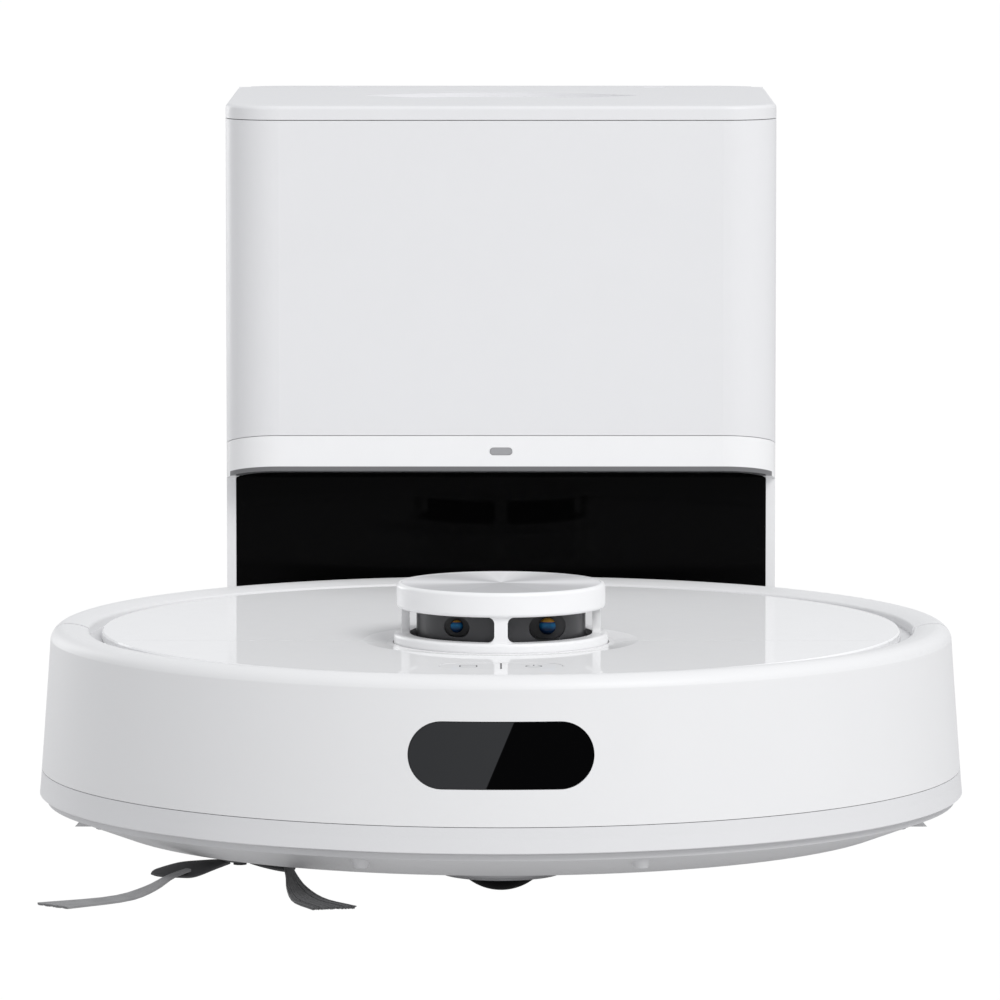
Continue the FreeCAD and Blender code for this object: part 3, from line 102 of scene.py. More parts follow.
# ---------------------------------------------------------------- shader helpers
class Sock:
    """An output socket that can be used in sums; numbers alone are worked out in Python."""

    def __init__(self, paint, socket):
        self.paint = paint
        self.socket = socket

    def math(self, operation, *others):
        inputs = {0: self.socket}
        for i, other in enumerate(others):
            inputs[i + 1] = other
        return self.paint.node("ShaderNodeMath", {"operation": operation}, inputs)

    def flipped(self, operation, other):
        return self.paint.node("ShaderNodeMath", {"operation": operation}, {0: other, 1: self.socket})

    def __add__(self, other):
        return self.math("ADD", other)

    __radd__ = __add__

    def __mul__(self, other):
        return self.math("MULTIPLY", other)

    __rmul__ = __mul__

    def __sub__(self, other):
        return self.math("SUBTRACT", other)

    def __rsub__(self, other):
        return self.flipped("SUBTRACT", other)

    def __truediv__(self, other):
        return self.math("DIVIDE", other)

    def __pow__(self, other):
        return self.math("POWER", other)


class Paint:
    """One material being built round a Principled shader."""

    def __init__(self, name):
        self.material = bpy.data.materials.new(name)
        self.material.use_nodes = True
        self.tree = self.material.node_tree
        self.tree.nodes.clear()
        self.shader = self.tree.nodes.new("ShaderNodeBsdfPrincipled")
        output = self.tree.nodes.new("ShaderNodeOutputMaterial")
        self.tree.links.new(self.shader.outputs[0], output.inputs["Surface"])
        self.coords = None

    def node(self, kind, settings=None, inputs=None, out=0):
        made = self.tree.nodes.new(kind)
        for key, value in (settings or {}).items():
            if key == "stops":
                ramp = made.color_ramp
                while len(ramp.elements) < len(value):
                    ramp.elements.new(0.5)
                for element, (at, colour) in zip(ramp.elements, value):
                    element.position = at
                    element.color = colour
            else:
                setattr(made, key, value)
        for key, value in (inputs or {}).items():
            self.feed(made.inputs[key], value)
        return Sock(self, made.outputs[out])

    def feed(self, socket, value):
        if isinstance(value, Sock):
            value = value.socket
        if isinstance(value, bpy.types.NodeSocket):
            self.tree.links.new(value, socket)
        else:
            socket.default_value = value

    def set(self, **values):
        """Shader inputs by name, with _ for a space."""
        for key, value in values.items():
            self.feed(self.shader.inputs[key.replace("_", " ")], value)

    def place(self):
        if self.coords is None:
            self.coords = self.node("ShaderNodeTexCoord", out=3)
        return self.coords

    def axis(self, index):
        split = self.node("ShaderNodeSeparateXYZ", None, {0: self.place()})
        return Sock(self, split.socket.node.outputs[index])

    def noise(self, size_mm, detail=3.0, rough=0.5, where=None):
        """Noise whose blotches are about size_mm wide."""
        inputs = {"Vector": where or self.place(), "Scale": 1.0 / (size_mm * MM), "Detail": detail,
                  "Roughness": rough}
        return self.node("ShaderNodeTexNoise", {"noise_dimensions": "3D"}, inputs)

    def mix(self, amount, a, b):
        made = self.tree.nodes.new("ShaderNodeMix")
        made.data_type = "RGBA"
        self.feed(made.inputs[0], amount)
        self.feed(made.inputs[6], a)
        self.feed(made.inputs[7], b)
        return Sock(self, made.outputs[2])

    def bump(self, height, depth_mm, strength=1.0):
        return self.node("ShaderNodeBump", None, {"Height": height, "Distance": depth_mm * MM,
                                                  "Strength": strength})


def rgba(colour, lift=1.0):
    """Colour with every channel raised by lift and kept within 1."""
    return (min(1.0, colour[0] * lift), min(1.0, colour[1] * lift), min(1.0, colour[2] * lift), 1.0)


def moulded(name, colour, rough, grain_mm=0.35, depth_mm=0.006, tone=0.03, coat=0.0, ior=1.46):
    """Moulded plastic: faint cloudiness, fine spark-eroded grain, uneven sheen."""
    paint = Paint(name)
    cloud = paint.noise(28.0, 3.0)
    fine = paint.noise(grain_mm, 2.0, 0.6)
    paint.set(Base_Color=paint.mix(cloud, rgba(colour, 1 - tone), rgba(colour, 1 + tone)),
              Roughness=rough + (fine - 0.5) * 0.10 + (cloud - 0.5) * 0.04,
              Normal=paint.bump(fine, depth_mm))
    paint.shader.inputs["IOR"].default_value = ior
    if coat:
        paint.shader.inputs["Coat Weight"].default_value = coat
        paint.shader.inputs["Coat Roughness"].default_value = 0.03
    return paint.material


def polished(name, colour, rough=0.04, peel_mm=9.0, depth_mm=0.002, ior=1.4):
    """High gloss plastic with a trace of orange peel and fine dust in the sheen."""
    paint = Paint(name)
    peel = paint.noise(peel_mm, 1.0)
    dust = paint.noise(1.1, 4.0, 0.65)
    paint.set(Base_Color=paint.mix(peel, rgba(colour, 0.99), rgba(colour, 1.01)),
              Roughness=rough + dust * 0.02,
              Normal=paint.bump(peel, depth_mm))
    paint.shader.inputs["IOR"].default_value = ior
    return paint.material


def rubbery(name, colour, rough=0.62):
    """Rubber or nylon: cloudy, dull and finely rough."""
    paint = Paint(name)
    cloud = paint.noise(6.0, 3.0)
    fine = paint.noise(0.5, 3.0, 0.6)
    paint.set(Base_Color=paint.mix(cloud, rgba(colour, 0.82), rgba(colour, 1.18)),
              Roughness=rough + (fine - 0.5) * 0.16,
              Normal=paint.bump(fine, 0.02))
    return paint.material


def turned_metal(name, colour, rough=0.28, along=0):
    """Metal with fine lines running round an axis; along is that axis."""
    paint = Paint(name)
    line = paint.axis(along)
    streak = paint.node("ShaderNodeTexNoise", {"noise_dimensions": "1D"},
                        {"W": line, "Scale": 6000.0, "Detail": 2.0})
    blot = paint.noise(5.0, 3.0)
    paint.set(Base_Color=paint.mix(blot, rgba(colour, 0.9), rgba(colour, 1.05)), Metallic=1.0,
              Roughness=rough + (streak - 0.5) * 0.18, Normal=paint.bump(streak, 0.004))
    return paint.material


def spun_disc_metal():
    """Aluminium spun about the turret's axis: very fine rings in the roughness and bump, and painted
    highlights in the colour, four bright sectors round the axis, dimmer at the front.
    """
    paint = Paint("spun_aluminium")
    x = paint.axis(0)
    y = paint.axis(1) - (TURRET_Y * MM + AXIS_Y)
    radius = (x * x + y * y) ** 0.5
    rings = paint.node("ShaderNodeTexNoise", {"noise_dimensions": "1D"},
                       {"W": radius, "Scale": 5200.0, "Detail": 3.0, "Roughness": 0.7})
    angle = y.math("ARCTAN2", x)
    # Painted highlights: the bright sectors of the spun finish's reflection, painted into the colour by
    # angle round the axis; sheen holds their strength.
    highlight_sectors = ((angle * 4.0).math("COSINE") * 0.5 + 0.5) * (angle.math("SINE") * 1.4 + 1.0).math("MINIMUM", 1.0)
    fine_highlight_streaks = paint.node("ShaderNodeTexNoise", {"noise_dimensions": "1D"},
                          {"W": angle, "Scale": 9.0, "Detail": 4.0})
    sheen = (highlight_sectors * 0.8 + fine_highlight_streaks * 0.2).math("MAXIMUM", 0.0)
    paint.set(Base_Color=paint.mix(sheen, (0.50, 0.50, 0.51, 1), (0.92, 0.92, 0.93, 1)), Metallic=0.5,
              Roughness=0.36 + (rings - 0.5) * 0.2, Normal=paint.bump(rings, 0.010, 0.6))
    return paint.material


def tinted_window():
    """Black tinted cover with a painted reflection: a dim grey left part, slightly lighter towards the
    right, and a clear black right part, with a slanting border between them.
    """
    paint = Paint("tinted_window")
    x = paint.axis(0)
    z = paint.axis(2) - WINDOW_Z * MM
    # Painted reflection: the grey part stands in for a soft studio light reflected in the cover, split off
    # along a slanting line.
    slant = x - z * 0.42 + 0.0005
    side = (slant * 4000.0).math("MINIMUM", 1.0).math("MAXIMUM", 0.0)
    reflection_fade = (x + WINDOW_W * MM / 2) * 3.2
    painted_reflection_grey = paint.mix(reflection_fade.math("MINIMUM", 1.0), (0.036, 0.037, 0.039, 1), (0.044, 0.045, 0.048, 1))
    haze = paint.noise(4.0, 2.0)
    paint.set(Base_Color=paint.mix(side, painted_reflection_grey, (0.0012, 0.0012, 0.0014, 1)),
              Roughness=0.03 + haze * 0.01, Normal=paint.bump(haze, 0.0005))
    paint.shader.inputs["IOR"].default_value = 1.08
    return paint.material


def dock_band_paint():
    """Glossy white band with painted shade: a grey strip along its lower front edge stands in for the shaded
    underside of that rounded edge.
    """
    paint = Paint("dock_gloss_white")
    front = cad("dock_lower_body")[0].y
    peel = paint.noise(14.0, 1.0)
    depth = paint.axis(1) * 1000.0 - (front + AXIS_Y * 1000.0)
    edge = BAND_EDGE_Z - depth * math.tan(math.radians(BAND_FALL))
    height = paint.axis(2) * 1000.0 - edge
    # Painted shade: grey just above the band's lower front edge, fading out towards the back.
    in_shade_strip = (BAND_SHADE_H / 2 - (height - BAND_SHADE_H / 2 + 0.3).math("ABSOLUTE")) * 6.0
    forward = (BAND_SHADE_DEPTH - depth) * 2.0
    amount = in_shade_strip.math("MINIMUM", forward).math("MAXIMUM", 0.0).math("MINIMUM", 1.0)
    white = paint.mix(peel, (0.89, 0.89, 0.895, 1), (0.91, 0.91, 0.915, 1))
    paint.set(Base_Color=paint.mix(amount, white, (0.17, 0.17, 0.175, 1)), Roughness=0.20 + peel * 0.04,
              Normal=paint.bump(peel, 0.002))
    paint.shader.inputs["IOR"].default_value = 1.45
    return paint.material


def coated_lens():
    """Dark glass with painted reflections of its coating: amber at the top, blue in the middle, near black
    below.
    """
    paint = Paint("coated_lens")
    height = (paint.axis(2) - LENS_LOW.z * MM) / ((LENS_HIGH.z - LENS_LOW.z) * MM)
    # Painted reflections: the amber and blue bands stand in for light reflected by the lens coating.
    stops = [(0.0, (0.001, 0.003, 0.01, 1)), (0.35, (0.002, 0.02, 0.07, 1)), (0.6, (0.01, 0.16, 0.36, 1)),
             (0.74, (0.01, 0.06, 0.16, 1)), (0.80, (0.60, 0.28, 0.03, 1)), (1.0, (0.80, 0.44, 0.08, 1))]
    colour = paint.node("ShaderNodeValToRGB", {"stops": stops}, {0: height})
    swirl = paint.noise(1.2, 2.0)
    paint.set(Base_Color=paint.mix(swirl * 0.5, colour, (0.005, 0.01, 0.02, 1)),
              Roughness=0.03 + swirl * 0.03)
    paint.shader.inputs["IOR"].default_value = 1.25
    return paint.material


def printed_gloss(paint, mark, ink):
    """White gloss plastic with ink where mark is above nought."""
    peel = paint.noise(9.0, 1.0)
    amount = mark.math("MAXIMUM", 0.0).math("MINIMUM", 1.0)
    ground = paint.mix(peel, (0.87, 0.87, 0.875, 1), (0.89, 0.89, 0.895, 1))
    paint.set(Base_Color=paint.mix(amount, ground, ink), Roughness=0.02 + peel * 0.02,
              Normal=paint.bump(peel, 0.002))
    paint.shader.inputs["IOR"].default_value = GLOSS_IOR
    return paint.material


def from_centre(paint, node):
    """Millimetres from the middle of a node, sideways and front to back."""
    low, high = cad(node)
    middle = (low + high) / 2
    return (paint.axis(0) * 1000.0 - middle.x,
            paint.axis(1) * 1000.0 - (middle.y + AXIS_Y * 1000.0))


def home_key_paint():
    """Gloss key with the outline of a rounded box."""
    paint = Paint("gloss_home_key")
    x, y = from_centre(paint, "home_key")
    beyond_x = (x.math("ABSOLUTE") - 2.1).math("MAXIMUM", 0.0)
    beyond_y = (y.math("ABSOLUTE") - 1.7).math("MAXIMUM", 0.0)
    outline = ((beyond_x * beyond_x + beyond_y * beyond_y) ** 0.5 - 1.0).math("ABSOLUTE")
    return printed_gloss(paint, (ICON_LINE_HALF - outline) * 8.0, ICON_INK)


def power_key_paint():
    """Gloss key with an open ring and a short bar in its gap."""
    paint = Paint("gloss_power_key")
    x, y = from_centre(paint, "power_key")
    ring = ((x * x + y * y) ** 0.5 - 2.9).math("ABSOLUTE")
    gap = (y - 1.6 - x.math("ABSOLUTE") * 0.6) * 8.0
    arc = (ICON_LINE_HALF - ring) * 8.0 - gap.math("MAXIMUM", 0.0)
    bar = (0.28 - x.math("ABSOLUTE")).math("MINIMUM", 1.5 - (y - 2.2).math("ABSOLUTE")) * 8.0
    return printed_gloss(paint, arc.math("MAXIMUM", bar), ICON_INK)


def led_paint():
    """Gloss bar with one thin smoked line down its middle."""
    paint = Paint("led_line")
    x = from_centre(paint, "led_bar")[0]
    return printed_gloss(paint, (LED_LINE_HALF - x.math("ABSOLUTE")) * 12.0, LED_INK)


def loop_cloth():
    """Short looped microfibre."""
    paint = Paint("microfibre")
    loops = paint.node("ShaderNodeTexVoronoi", {"feature": "F1"}, {"Vector": paint.place(), "Scale": 620.0})
    fuzz = paint.noise(0.8, 4.0, 0.7)
    cloud = paint.noise(18.0, 3.0)
    height = loops * -0.8 + fuzz * 0.5
    paint.set(Base_Color=paint.mix(cloud * 0.6 + fuzz * 0.4, (0.42, 0.43, 0.47, 1), (0.66, 0.67, 0.70, 1)),
              Roughness=0.9 + (fuzz - 0.5) * 0.1, Normal=paint.bump(height, 0.5))
    paint.shader.inputs["Sheen Weight"].default_value = 0.35
    return paint.material


def non_woven():
    """Non-woven bag paper with pressed dots."""
    paint = Paint("bag_paper")
    dots = paint.node("ShaderNodeTexVoronoi", {"feature": "F1"}, {"Vector": paint.place(), "Scale": 420.0})
    fibre = paint.noise(2.2, 5.0, 0.7)
    paint.set(Base_Color=paint.mix(fibre, (0.66, 0.65, 0.61, 1), (0.82, 0.81, 0.77, 1)),
              Roughness=0.86 + (fibre - 0.5) * 0.1, Normal=paint.bump(dots + fibre * 0.4, 0.25))
    return paint.material


def pleated():
    """Filter paper in fine pleats running up the frame, with painted shade in the colour: darker in each
    trough between pleats.
    """
    paint = Paint("pleated_paper")
    wave = (paint.axis(1) * (2 * math.pi / (2.4 * MM))).math("SINE")
    fibre = paint.noise(0.9, 3.0)
    # Painted shade: the colour follows the pleat wave, dark in the troughs and light on the crests.
    paint.set(Base_Color=paint.mix(wave * 0.5 + 0.5, (0.45, 0.44, 0.42, 1), (0.86, 0.85, 0.82, 1)),
              Roughness=0.8 + fibre * 0.1, Normal=paint.bump(wave, 0.6))
    return paint.material


def board_green():
    """Circuit board with a lattice of tracks."""
    paint = Paint("circuit_board")
    tracks = paint.node("ShaderNodeTexVoronoi", {"feature": "DISTANCE_TO_EDGE"},
                        {"Vector": paint.place(), "Scale": 260.0})
    line = (tracks * 22.0).math("MINIMUM", 1.0)
    fine = paint.noise(1.0, 2.0)
    paint.set(Base_Color=paint.mix(line, (0.10, 0.26, 0.12, 1), (0.01, 0.09, 0.035, 1)),
              Roughness=0.35 + fine * 0.15, Normal=paint.bump(line, 0.03))
    return paint.material


def plated(name, colour):
    """Bright plated metal with small scuffs."""
    paint = Paint(name)
    scuff = paint.noise(0.7, 4.0, 0.7)
    cloud = paint.noise(6.0, 2.0)
    paint.set(Base_Color=paint.mix(cloud, rgba(colour, 0.92), rgba(colour, 1.04)), Metallic=1.0,
              Roughness=0.16 + scuff * 0.12, Normal=paint.bump(scuff, 0.003))
    return paint.material


WHITE_MATTE = moulded("matte_white", (0.82, 0.82, 0.825), 0.46, 0.45, 0.010, 0.010)
WHITE_TRIM = moulded("satin_white_trim", (0.76, 0.76, 0.77), 0.38, 0.4, 0.006, 0.012)
WHITE_TURRET = moulded("satin_white_turret", (0.88, 0.88, 0.885), 0.33, 0.4, 0.004, 0.008)
WHITE_GLOSS = polished("gloss_white_plate", (0.90, 0.90, 0.905), 0.02, ior=GLOSS_IOR)
HOME_KEY = home_key_paint()
POWER_KEY = power_key_paint()
LED_BAR = led_paint()
DOCK_SATIN = moulded("dock_satin_white", (0.80, 0.80, 0.81), 0.40, 0.5, 0.006, 0.008)
DOCK_GLOSS = dock_band_paint()
PANEL_BLACK = polished("panel_black", (0.0012, 0.0012, 0.0013), 0.02, 20.0, 0.001, 1.12)
SKIRT_GREY = moulded("skirt_grey", (0.62, 0.62, 0.63), 0.50, 0.5, 0.012, 0.02)
DECK_WHITE = moulded("deck_white", (0.70, 0.70, 0.71), 0.42, 0.5, 0.008, 0.02)
DARK_ROTOR = moulded("rotor_dark", (0.040, 0.040, 0.043), 0.36, 0.3, 0.006, 0.10)
DARK_PLASTIC = moulded("black_plastic", (0.018, 0.018, 0.020), 0.44, 0.4, 0.010, 0.12)
COVER_DARK = moulded("cover_grey", (0.10, 0.10, 0.105), 0.48, 0.4, 0.010, 0.08)
RIM_GREY = moulded("rim_grey", (0.16, 0.16, 0.165), 0.45, 0.4, 0.010, 0.08)
CASTER_BLACK = moulded("caster_black", (0.003, 0.003, 0.0033), 0.6, 0.4, 0.006, 0.03, ior=1.12)
FORK_GREY = moulded("fork_grey", (0.50, 0.50, 0.51), 0.48, 0.5, 0.010, 0.03)
MOP_FRAME = moulded("mop_frame", (0.66, 0.66, 0.67), 0.45, 0.5, 0.010, 0.02)
BIN_SMOKE = polished("bin_smoke", (0.10, 0.105, 0.115), 0.10)
RUBBER = rubbery("black_rubber", (0.022, 0.022, 0.024))
BRUSH_RUBBER = rubbery("brush_rubber", (0.05, 0.05, 0.054))
PADDLE_RUBBER = rubbery("paddle_rubber", (0.060, 0.060, 0.063), 0.5)
TYRE_RUBBER = rubbery("tyre_rubber", (0.020, 0.020, 0.021), 0.72)
STEEL = turned_metal("turned_steel", (0.55, 0.55, 0.56))
SPUN = spun_disc_metal()
WINDOW = tinted_window()
LENS = coated_lens()
CLOTH = loop_cloth()
PAPER = non_woven()
PLEATS = pleated()
BOARD = board_green()
CONTACT = plated("contact_metal", (0.83, 0.80, 0.72))
LED_GREY = moulded("led_grey", (0.36, 0.36, 0.37), 0.3, 0.4, 0.002, 0.03)
BRISTLE = rubbery("bristle_nylon", (0.26, 0.26, 0.265), 0.42)
BRISTLE_DARK = rubbery("bristle_dark_nylon", (0.10, 0.10, 0.103), 0.42)

NODE_PAINT = {
    "chassis": SKIRT_GREY, "deck": DECK_WHITE, "caster_housing": SKIRT_GREY, "caster_fork": FORK_GREY,
    "caster_wheel": CASTER_BLACK, "caster_axle": STEEL, "lid_hinge_pin": STEEL, "dock_hinge_pin": STEEL,
    "chassis_screws": STEEL, "led_bar": LED_BAR, "circuit_board": BOARD, "turret_base": DARK_ROTOR,
    "lidar_belt": RUBBER, "lidar_pulley": DARK_PLASTIC, "brush_housing": DARK_PLASTIC,
    "brush_cover": COVER_DARK, "brush_motor": DARK_PLASTIC, "side_brush_motor": DARK_PLASTIC,
    "dustbin": BIN_SMOKE, "bin_filter": PLEATS, "fan_housing": DARK_PLASTIC, "fan_impeller": COVER_DARK,
    "battery": COVER_DARK, "cliff_windows": DARK_PLASTIC, "charging_contacts": CONTACT,
    "dock_contacts": CONTACT, "arm_left": DARK_PLASTIC, "arm_right": DARK_PLASTIC, "rim_left": RIM_GREY,
    "rim_right": RIM_GREY, "tyre_left": TYRE_RUBBER, "tyre_right": TYRE_RUBBER, "main_brush": BRUSH_RUBBER,
    "suction_gasket": RUBBER, "dock_feet": RUBBER, "dock_fan_housing": DARK_PLASTIC,
    "dock_impeller": COVER_DARK, "power_inlet": DARK_PLASTIC, "dock_led": LED_GREY, "mop_bracket": MOP_FRAME,
    "lidar_rotor": DARK_ROTOR, "rotor_lenses": LENS, "turret_disc": SPUN, "turret_cage": WHITE_TURRET,
    "bumper": WHITE_MATTE, "rear_shell": WHITE_MATTE, "bumper_trim": WHITE_TRIM, "bumper_window": WINDOW,
    "top_plate_front": WHITE_GLOSS, "flip_lid": WHITE_GLOSS, "home_key": HOME_KEY, "power_key": POWER_KEY,
    "dock_housing": DOCK_SATIN, "dock_lid": DOCK_SATIN, "dock_lower_body": DOCK_GLOSS,
    "dock_panel": PANEL_BLACK, "dust_bag": PAPER, "mop_cloth": CLOTH, "side_brush_hub": PADDLE_RUBBER,
    "side_brush_bristles": BRISTLE,
}


def paint_cad_nodes():
    """Gives every CAD node its own material."""
    for name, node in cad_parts.items():
        node.data.materials.clear()
        node.data.materials.append(NODE_PAINT[name])


# ---------------------------------------------------------------- camera, light, floor
def make_camera():
    """Long lens in front of the robot, on its centre line and above it, looking slightly down."""
    pitch = math.atan(CAMERA_DROP / LENS_DISTANCE)
    data = bpy.data.cameras.new("camera")
    data.sensor_width = 36.0
    data.lens = LENS_DISTANCE / math.cos(pitch) / 1000.0 * data.sensor_width
    data.clip_end = 50.0
    camera = bpy.data.objects.new("camera", data)
    camera.location = place([(0, -CAMERA_DISTANCE, CAMERA_HEIGHT)])[0]
    camera.rotation_euler = (math.pi / 2 - pitch, 0, -CAMERA_TURN)
    bpy.context.scene.collection.objects.link(camera)
    bpy.context.scene.camera = camera


def area_light(name, where, target, size, power):
    """Square or oblong soft light at where, in metres, facing target."""
    data = bpy.data.lights.new(name, "AREA")
    data.shape = "RECTANGLE"
    data.size = size[0]
    data.size_y = size[1]
    data.energy = power
    light = bpy.data.objects.new(name, data)
    light.location = where
    aim = Vector(target) - Vector(where)
    light.rotation_euler = aim.to_track_quat("-Z", "Y").to_euler()
    bpy.context.scene.collection.objects.link(light)


def make_studio():
    """Even white room, seen as plain white, with a large soft light and a weak one behind the left edge."""
    world = bpy.data.worlds.new("studio")
    world.use_nodes = True
    tree = world.node_tree
    tree.nodes.clear()
    out = tree.nodes.new("ShaderNodeOutputWorld")
    mix = tree.nodes.new("ShaderNodeMixShader")
    path = tree.nodes.new("ShaderNodeLightPath")
    seen = tree.nodes.new("ShaderNodeBackground")
    seen.inputs["Color"].default_value = (1, 1, 1, 1)
    seen.inputs["Strength"].default_value = 1.0
    lit = tree.nodes.new("ShaderNodeBackground")
    lit.inputs["Color"].default_value = (0.97, 0.98, 1.0, 1)
    lit.inputs["Strength"].default_value = 0.70
    tree.links.new(path.outputs["Is Camera Ray"], mix.inputs[0])
    tree.links.new(lit.outputs[0], mix.inputs[1])
    tree.links.new(seen.outputs[0], mix.inputs[2])
    tree.links.new(mix.outputs[0], out.inputs["Surface"])
    bpy.context.scene.world = world
    bpy.context.scene.view_settings.view_transform = "Standard"
    area_light("key", (1.55, -2.2, 2.45), (0, -0.05, 0.1), (1.5, 1.5), 57.0)
    area_light("left edge", (-1.5, 2.0, 0.5), (-0.1, 0.17, 0.16), (0.6, 1.1), 9.0)


def make_floor():
    """Pale floor: plain white to the eye, and a soft grey to everything that it lights."""
    paint = Paint("pale_floor")
    speck = paint.noise(60.0, 3.0)
    paint.set(Base_Color=paint.mix(speck, (0.33, 0.33, 0.335, 1), (0.36, 0.36, 0.365, 1)), Roughness=0.9)
    paint.shader.inputs["Specular IOR Level"].default_value = 0.0
    paint.shader.inputs["Emission Color"].default_value = (1, 1, 1, 1)
    paint.shader.inputs["Emission Strength"].default_value = 0.36
    tree = paint.tree
    path = tree.nodes.new("ShaderNodeLightPath")
    white = tree.nodes.new("ShaderNodeEmission")
    mix = tree.nodes.new("ShaderNodeMixShader")
    weight = tree.nodes.new("ShaderNodeMath")
    weight.operation = "MULTIPLY"
    weight.inputs[1].default_value = 0.975
    output = next(n for n in tree.nodes if n.type == "OUTPUT_MATERIAL")
    tree.links.new(path.outputs["Is Camera Ray"], weight.inputs[0])
    tree.links.new(weight.outputs[0], mix.inputs[0])
    tree.links.new(paint.shader.outputs[0], mix.inputs[1])
    tree.links.new(white.outputs[0], mix.inputs[2])
    tree.links.new(mix.outputs[0], output.inputs["Surface"])
    white.inputs["Strength"].default_value = 1.02
    mesh = bpy.data.meshes.new("floor")
    far = FLOOR_HALF
    corners = [(-far, -far, 0), (far, -far, 0), (far, far, 0), (-far, far, 0)]
    mesh.from_pydata(corners, [], [(0, 1, 2, 3)])
    mesh.materials.append(paint.material)
    floor = bpy.data.objects.new("floor", mesh)
    bpy.context.scene.collection.objects.link(floor)


# ---------------------------------------------------------------- making pieces
def link_piece(mesh, body, node):
    """Puts a finished mesh in the scene in place of a CAD node, moving with body."""
    piece = bpy.data.objects.new(mesh.name, mesh)
    bpy.context.scene.collection.objects.link(piece)
    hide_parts(node)
    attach(piece, body)
    return piece


def mesh_piece(name, points, faces, paint, body, node, smooth=True):
    """A finished piece from points in millimetres about the robot's axis."""
    mesh = bpy.data.meshes.new(name)
    mesh.from_pydata([tuple(p) for p in place(points)], [], faces)
    mesh.materials.append(paint)
    built = bmesh.new()
    built.from_mesh(mesh)
    bmesh.ops.recalc_face_normals(built, faces=built.faces)
    built.to_mesh(mesh)
    built.free()
    if smooth:
        mesh.shade_smooth()
        mesh.set_sharp_from_angle(angle=math.radians(38))
    return link_piece(mesh, body, node)


def curve_through(knots, count):
    """Smooth line through a few points (Catmull-Rom), as an array of count points."""
    pts = np.array(knots, float)
    pts = np.vstack([2 * pts[0] - pts[1], pts, 2 * pts[-1] - pts[-2]])
    spans = len(pts) - 3
    out = []
    for i in range(count):
        t = spans * i / (count - 1)
        k = min(int(t), spans - 1)
        u = t - k
        a, b, c, d = pts[k:k + 4]
        out.append(0.5 * (2 * b + (c - a) * u + (2 * a - 5 * b + 4 * c - d) * u ** 2
                          + (3 * b - a - 3 * c + d) * u ** 3))
    return np.array(out)


def blade(knots, across, widths, thick, sides=16):
    """Flat rubber blade along knots: across is its width direction at each knot, widths its half widths."""
    count = 36
    round_from = 0.9      # share of the length where the tip's rounding starts
    path = curve_through(knots, count)
    wide = curve_through(across, count)
    half = curve_through([[w, 0, 0] for w in widths], count)[:, 0]
    points = []
    for i in range(count):
        side = wide[i] / np.linalg.norm(wide[i])
        ahead = path[min(i + 1, count - 1)] - path[max(i - 1, 0)]
        up = np.cross(side, ahead)
        up = up / np.linalg.norm(up)
        if up[2] < 0:
            up = -up
        past = max(0.0, i / (count - 1) - round_from) / (1 - round_from)
        tip = math.sqrt(max(0.0, 1 - past ** 2))
        for k in range(sides):
            turn = 2 * math.pi * k / sides
            c = math.copysign(abs(math.cos(turn)) ** 0.8, math.cos(turn))
            d = math.copysign(abs(math.sin(turn)) ** 0.6, math.sin(turn))
            outward = side * half[i] * c * max(tip, 0.12)
            points.append(path[i] + outward + up * thick / 2 * d * max(tip, 0.35))
    faces = []
    for i in range(count - 1):
        for k in range(sides):
            m = (k + 1) % sides
            faces.append((i * sides + k, i * sides + m, (i + 1) * sides + m, (i + 1) * sides + k))
    faces.append(tuple(range(sides)))
    faces.append(tuple((count - 1) * sides + k for k in range(sides)))
    return points, faces


def disc_solid(profile, centre, sides=48):
    """Closed (radius, z) outline turned about an upright axis."""
    points = []
    faces = []
    n = len(profile)
    for i in range(sides):
        turn = 2 * math.pi * i / sides
        for r, z in profile:
            points.append((centre[0] + r * math.cos(turn), centre[1] + r * math.sin(turn), z))
    for i in range(sides):
        j = (i + 1) % sides
        for k in range(n - 1):
            faces.append((i * n + k, j * n + k, j * n + k + 1, i * n + k + 1))
    return points, faces


def joined(*meshes):
    """Points and faces of several meshes as one."""
    points = []
    faces = []
    for some, more in meshes:
        start = len(points)
        points += [tuple(p) for p in some]
        faces += [tuple(v + start for v in face) for face in more]
    return points, faces


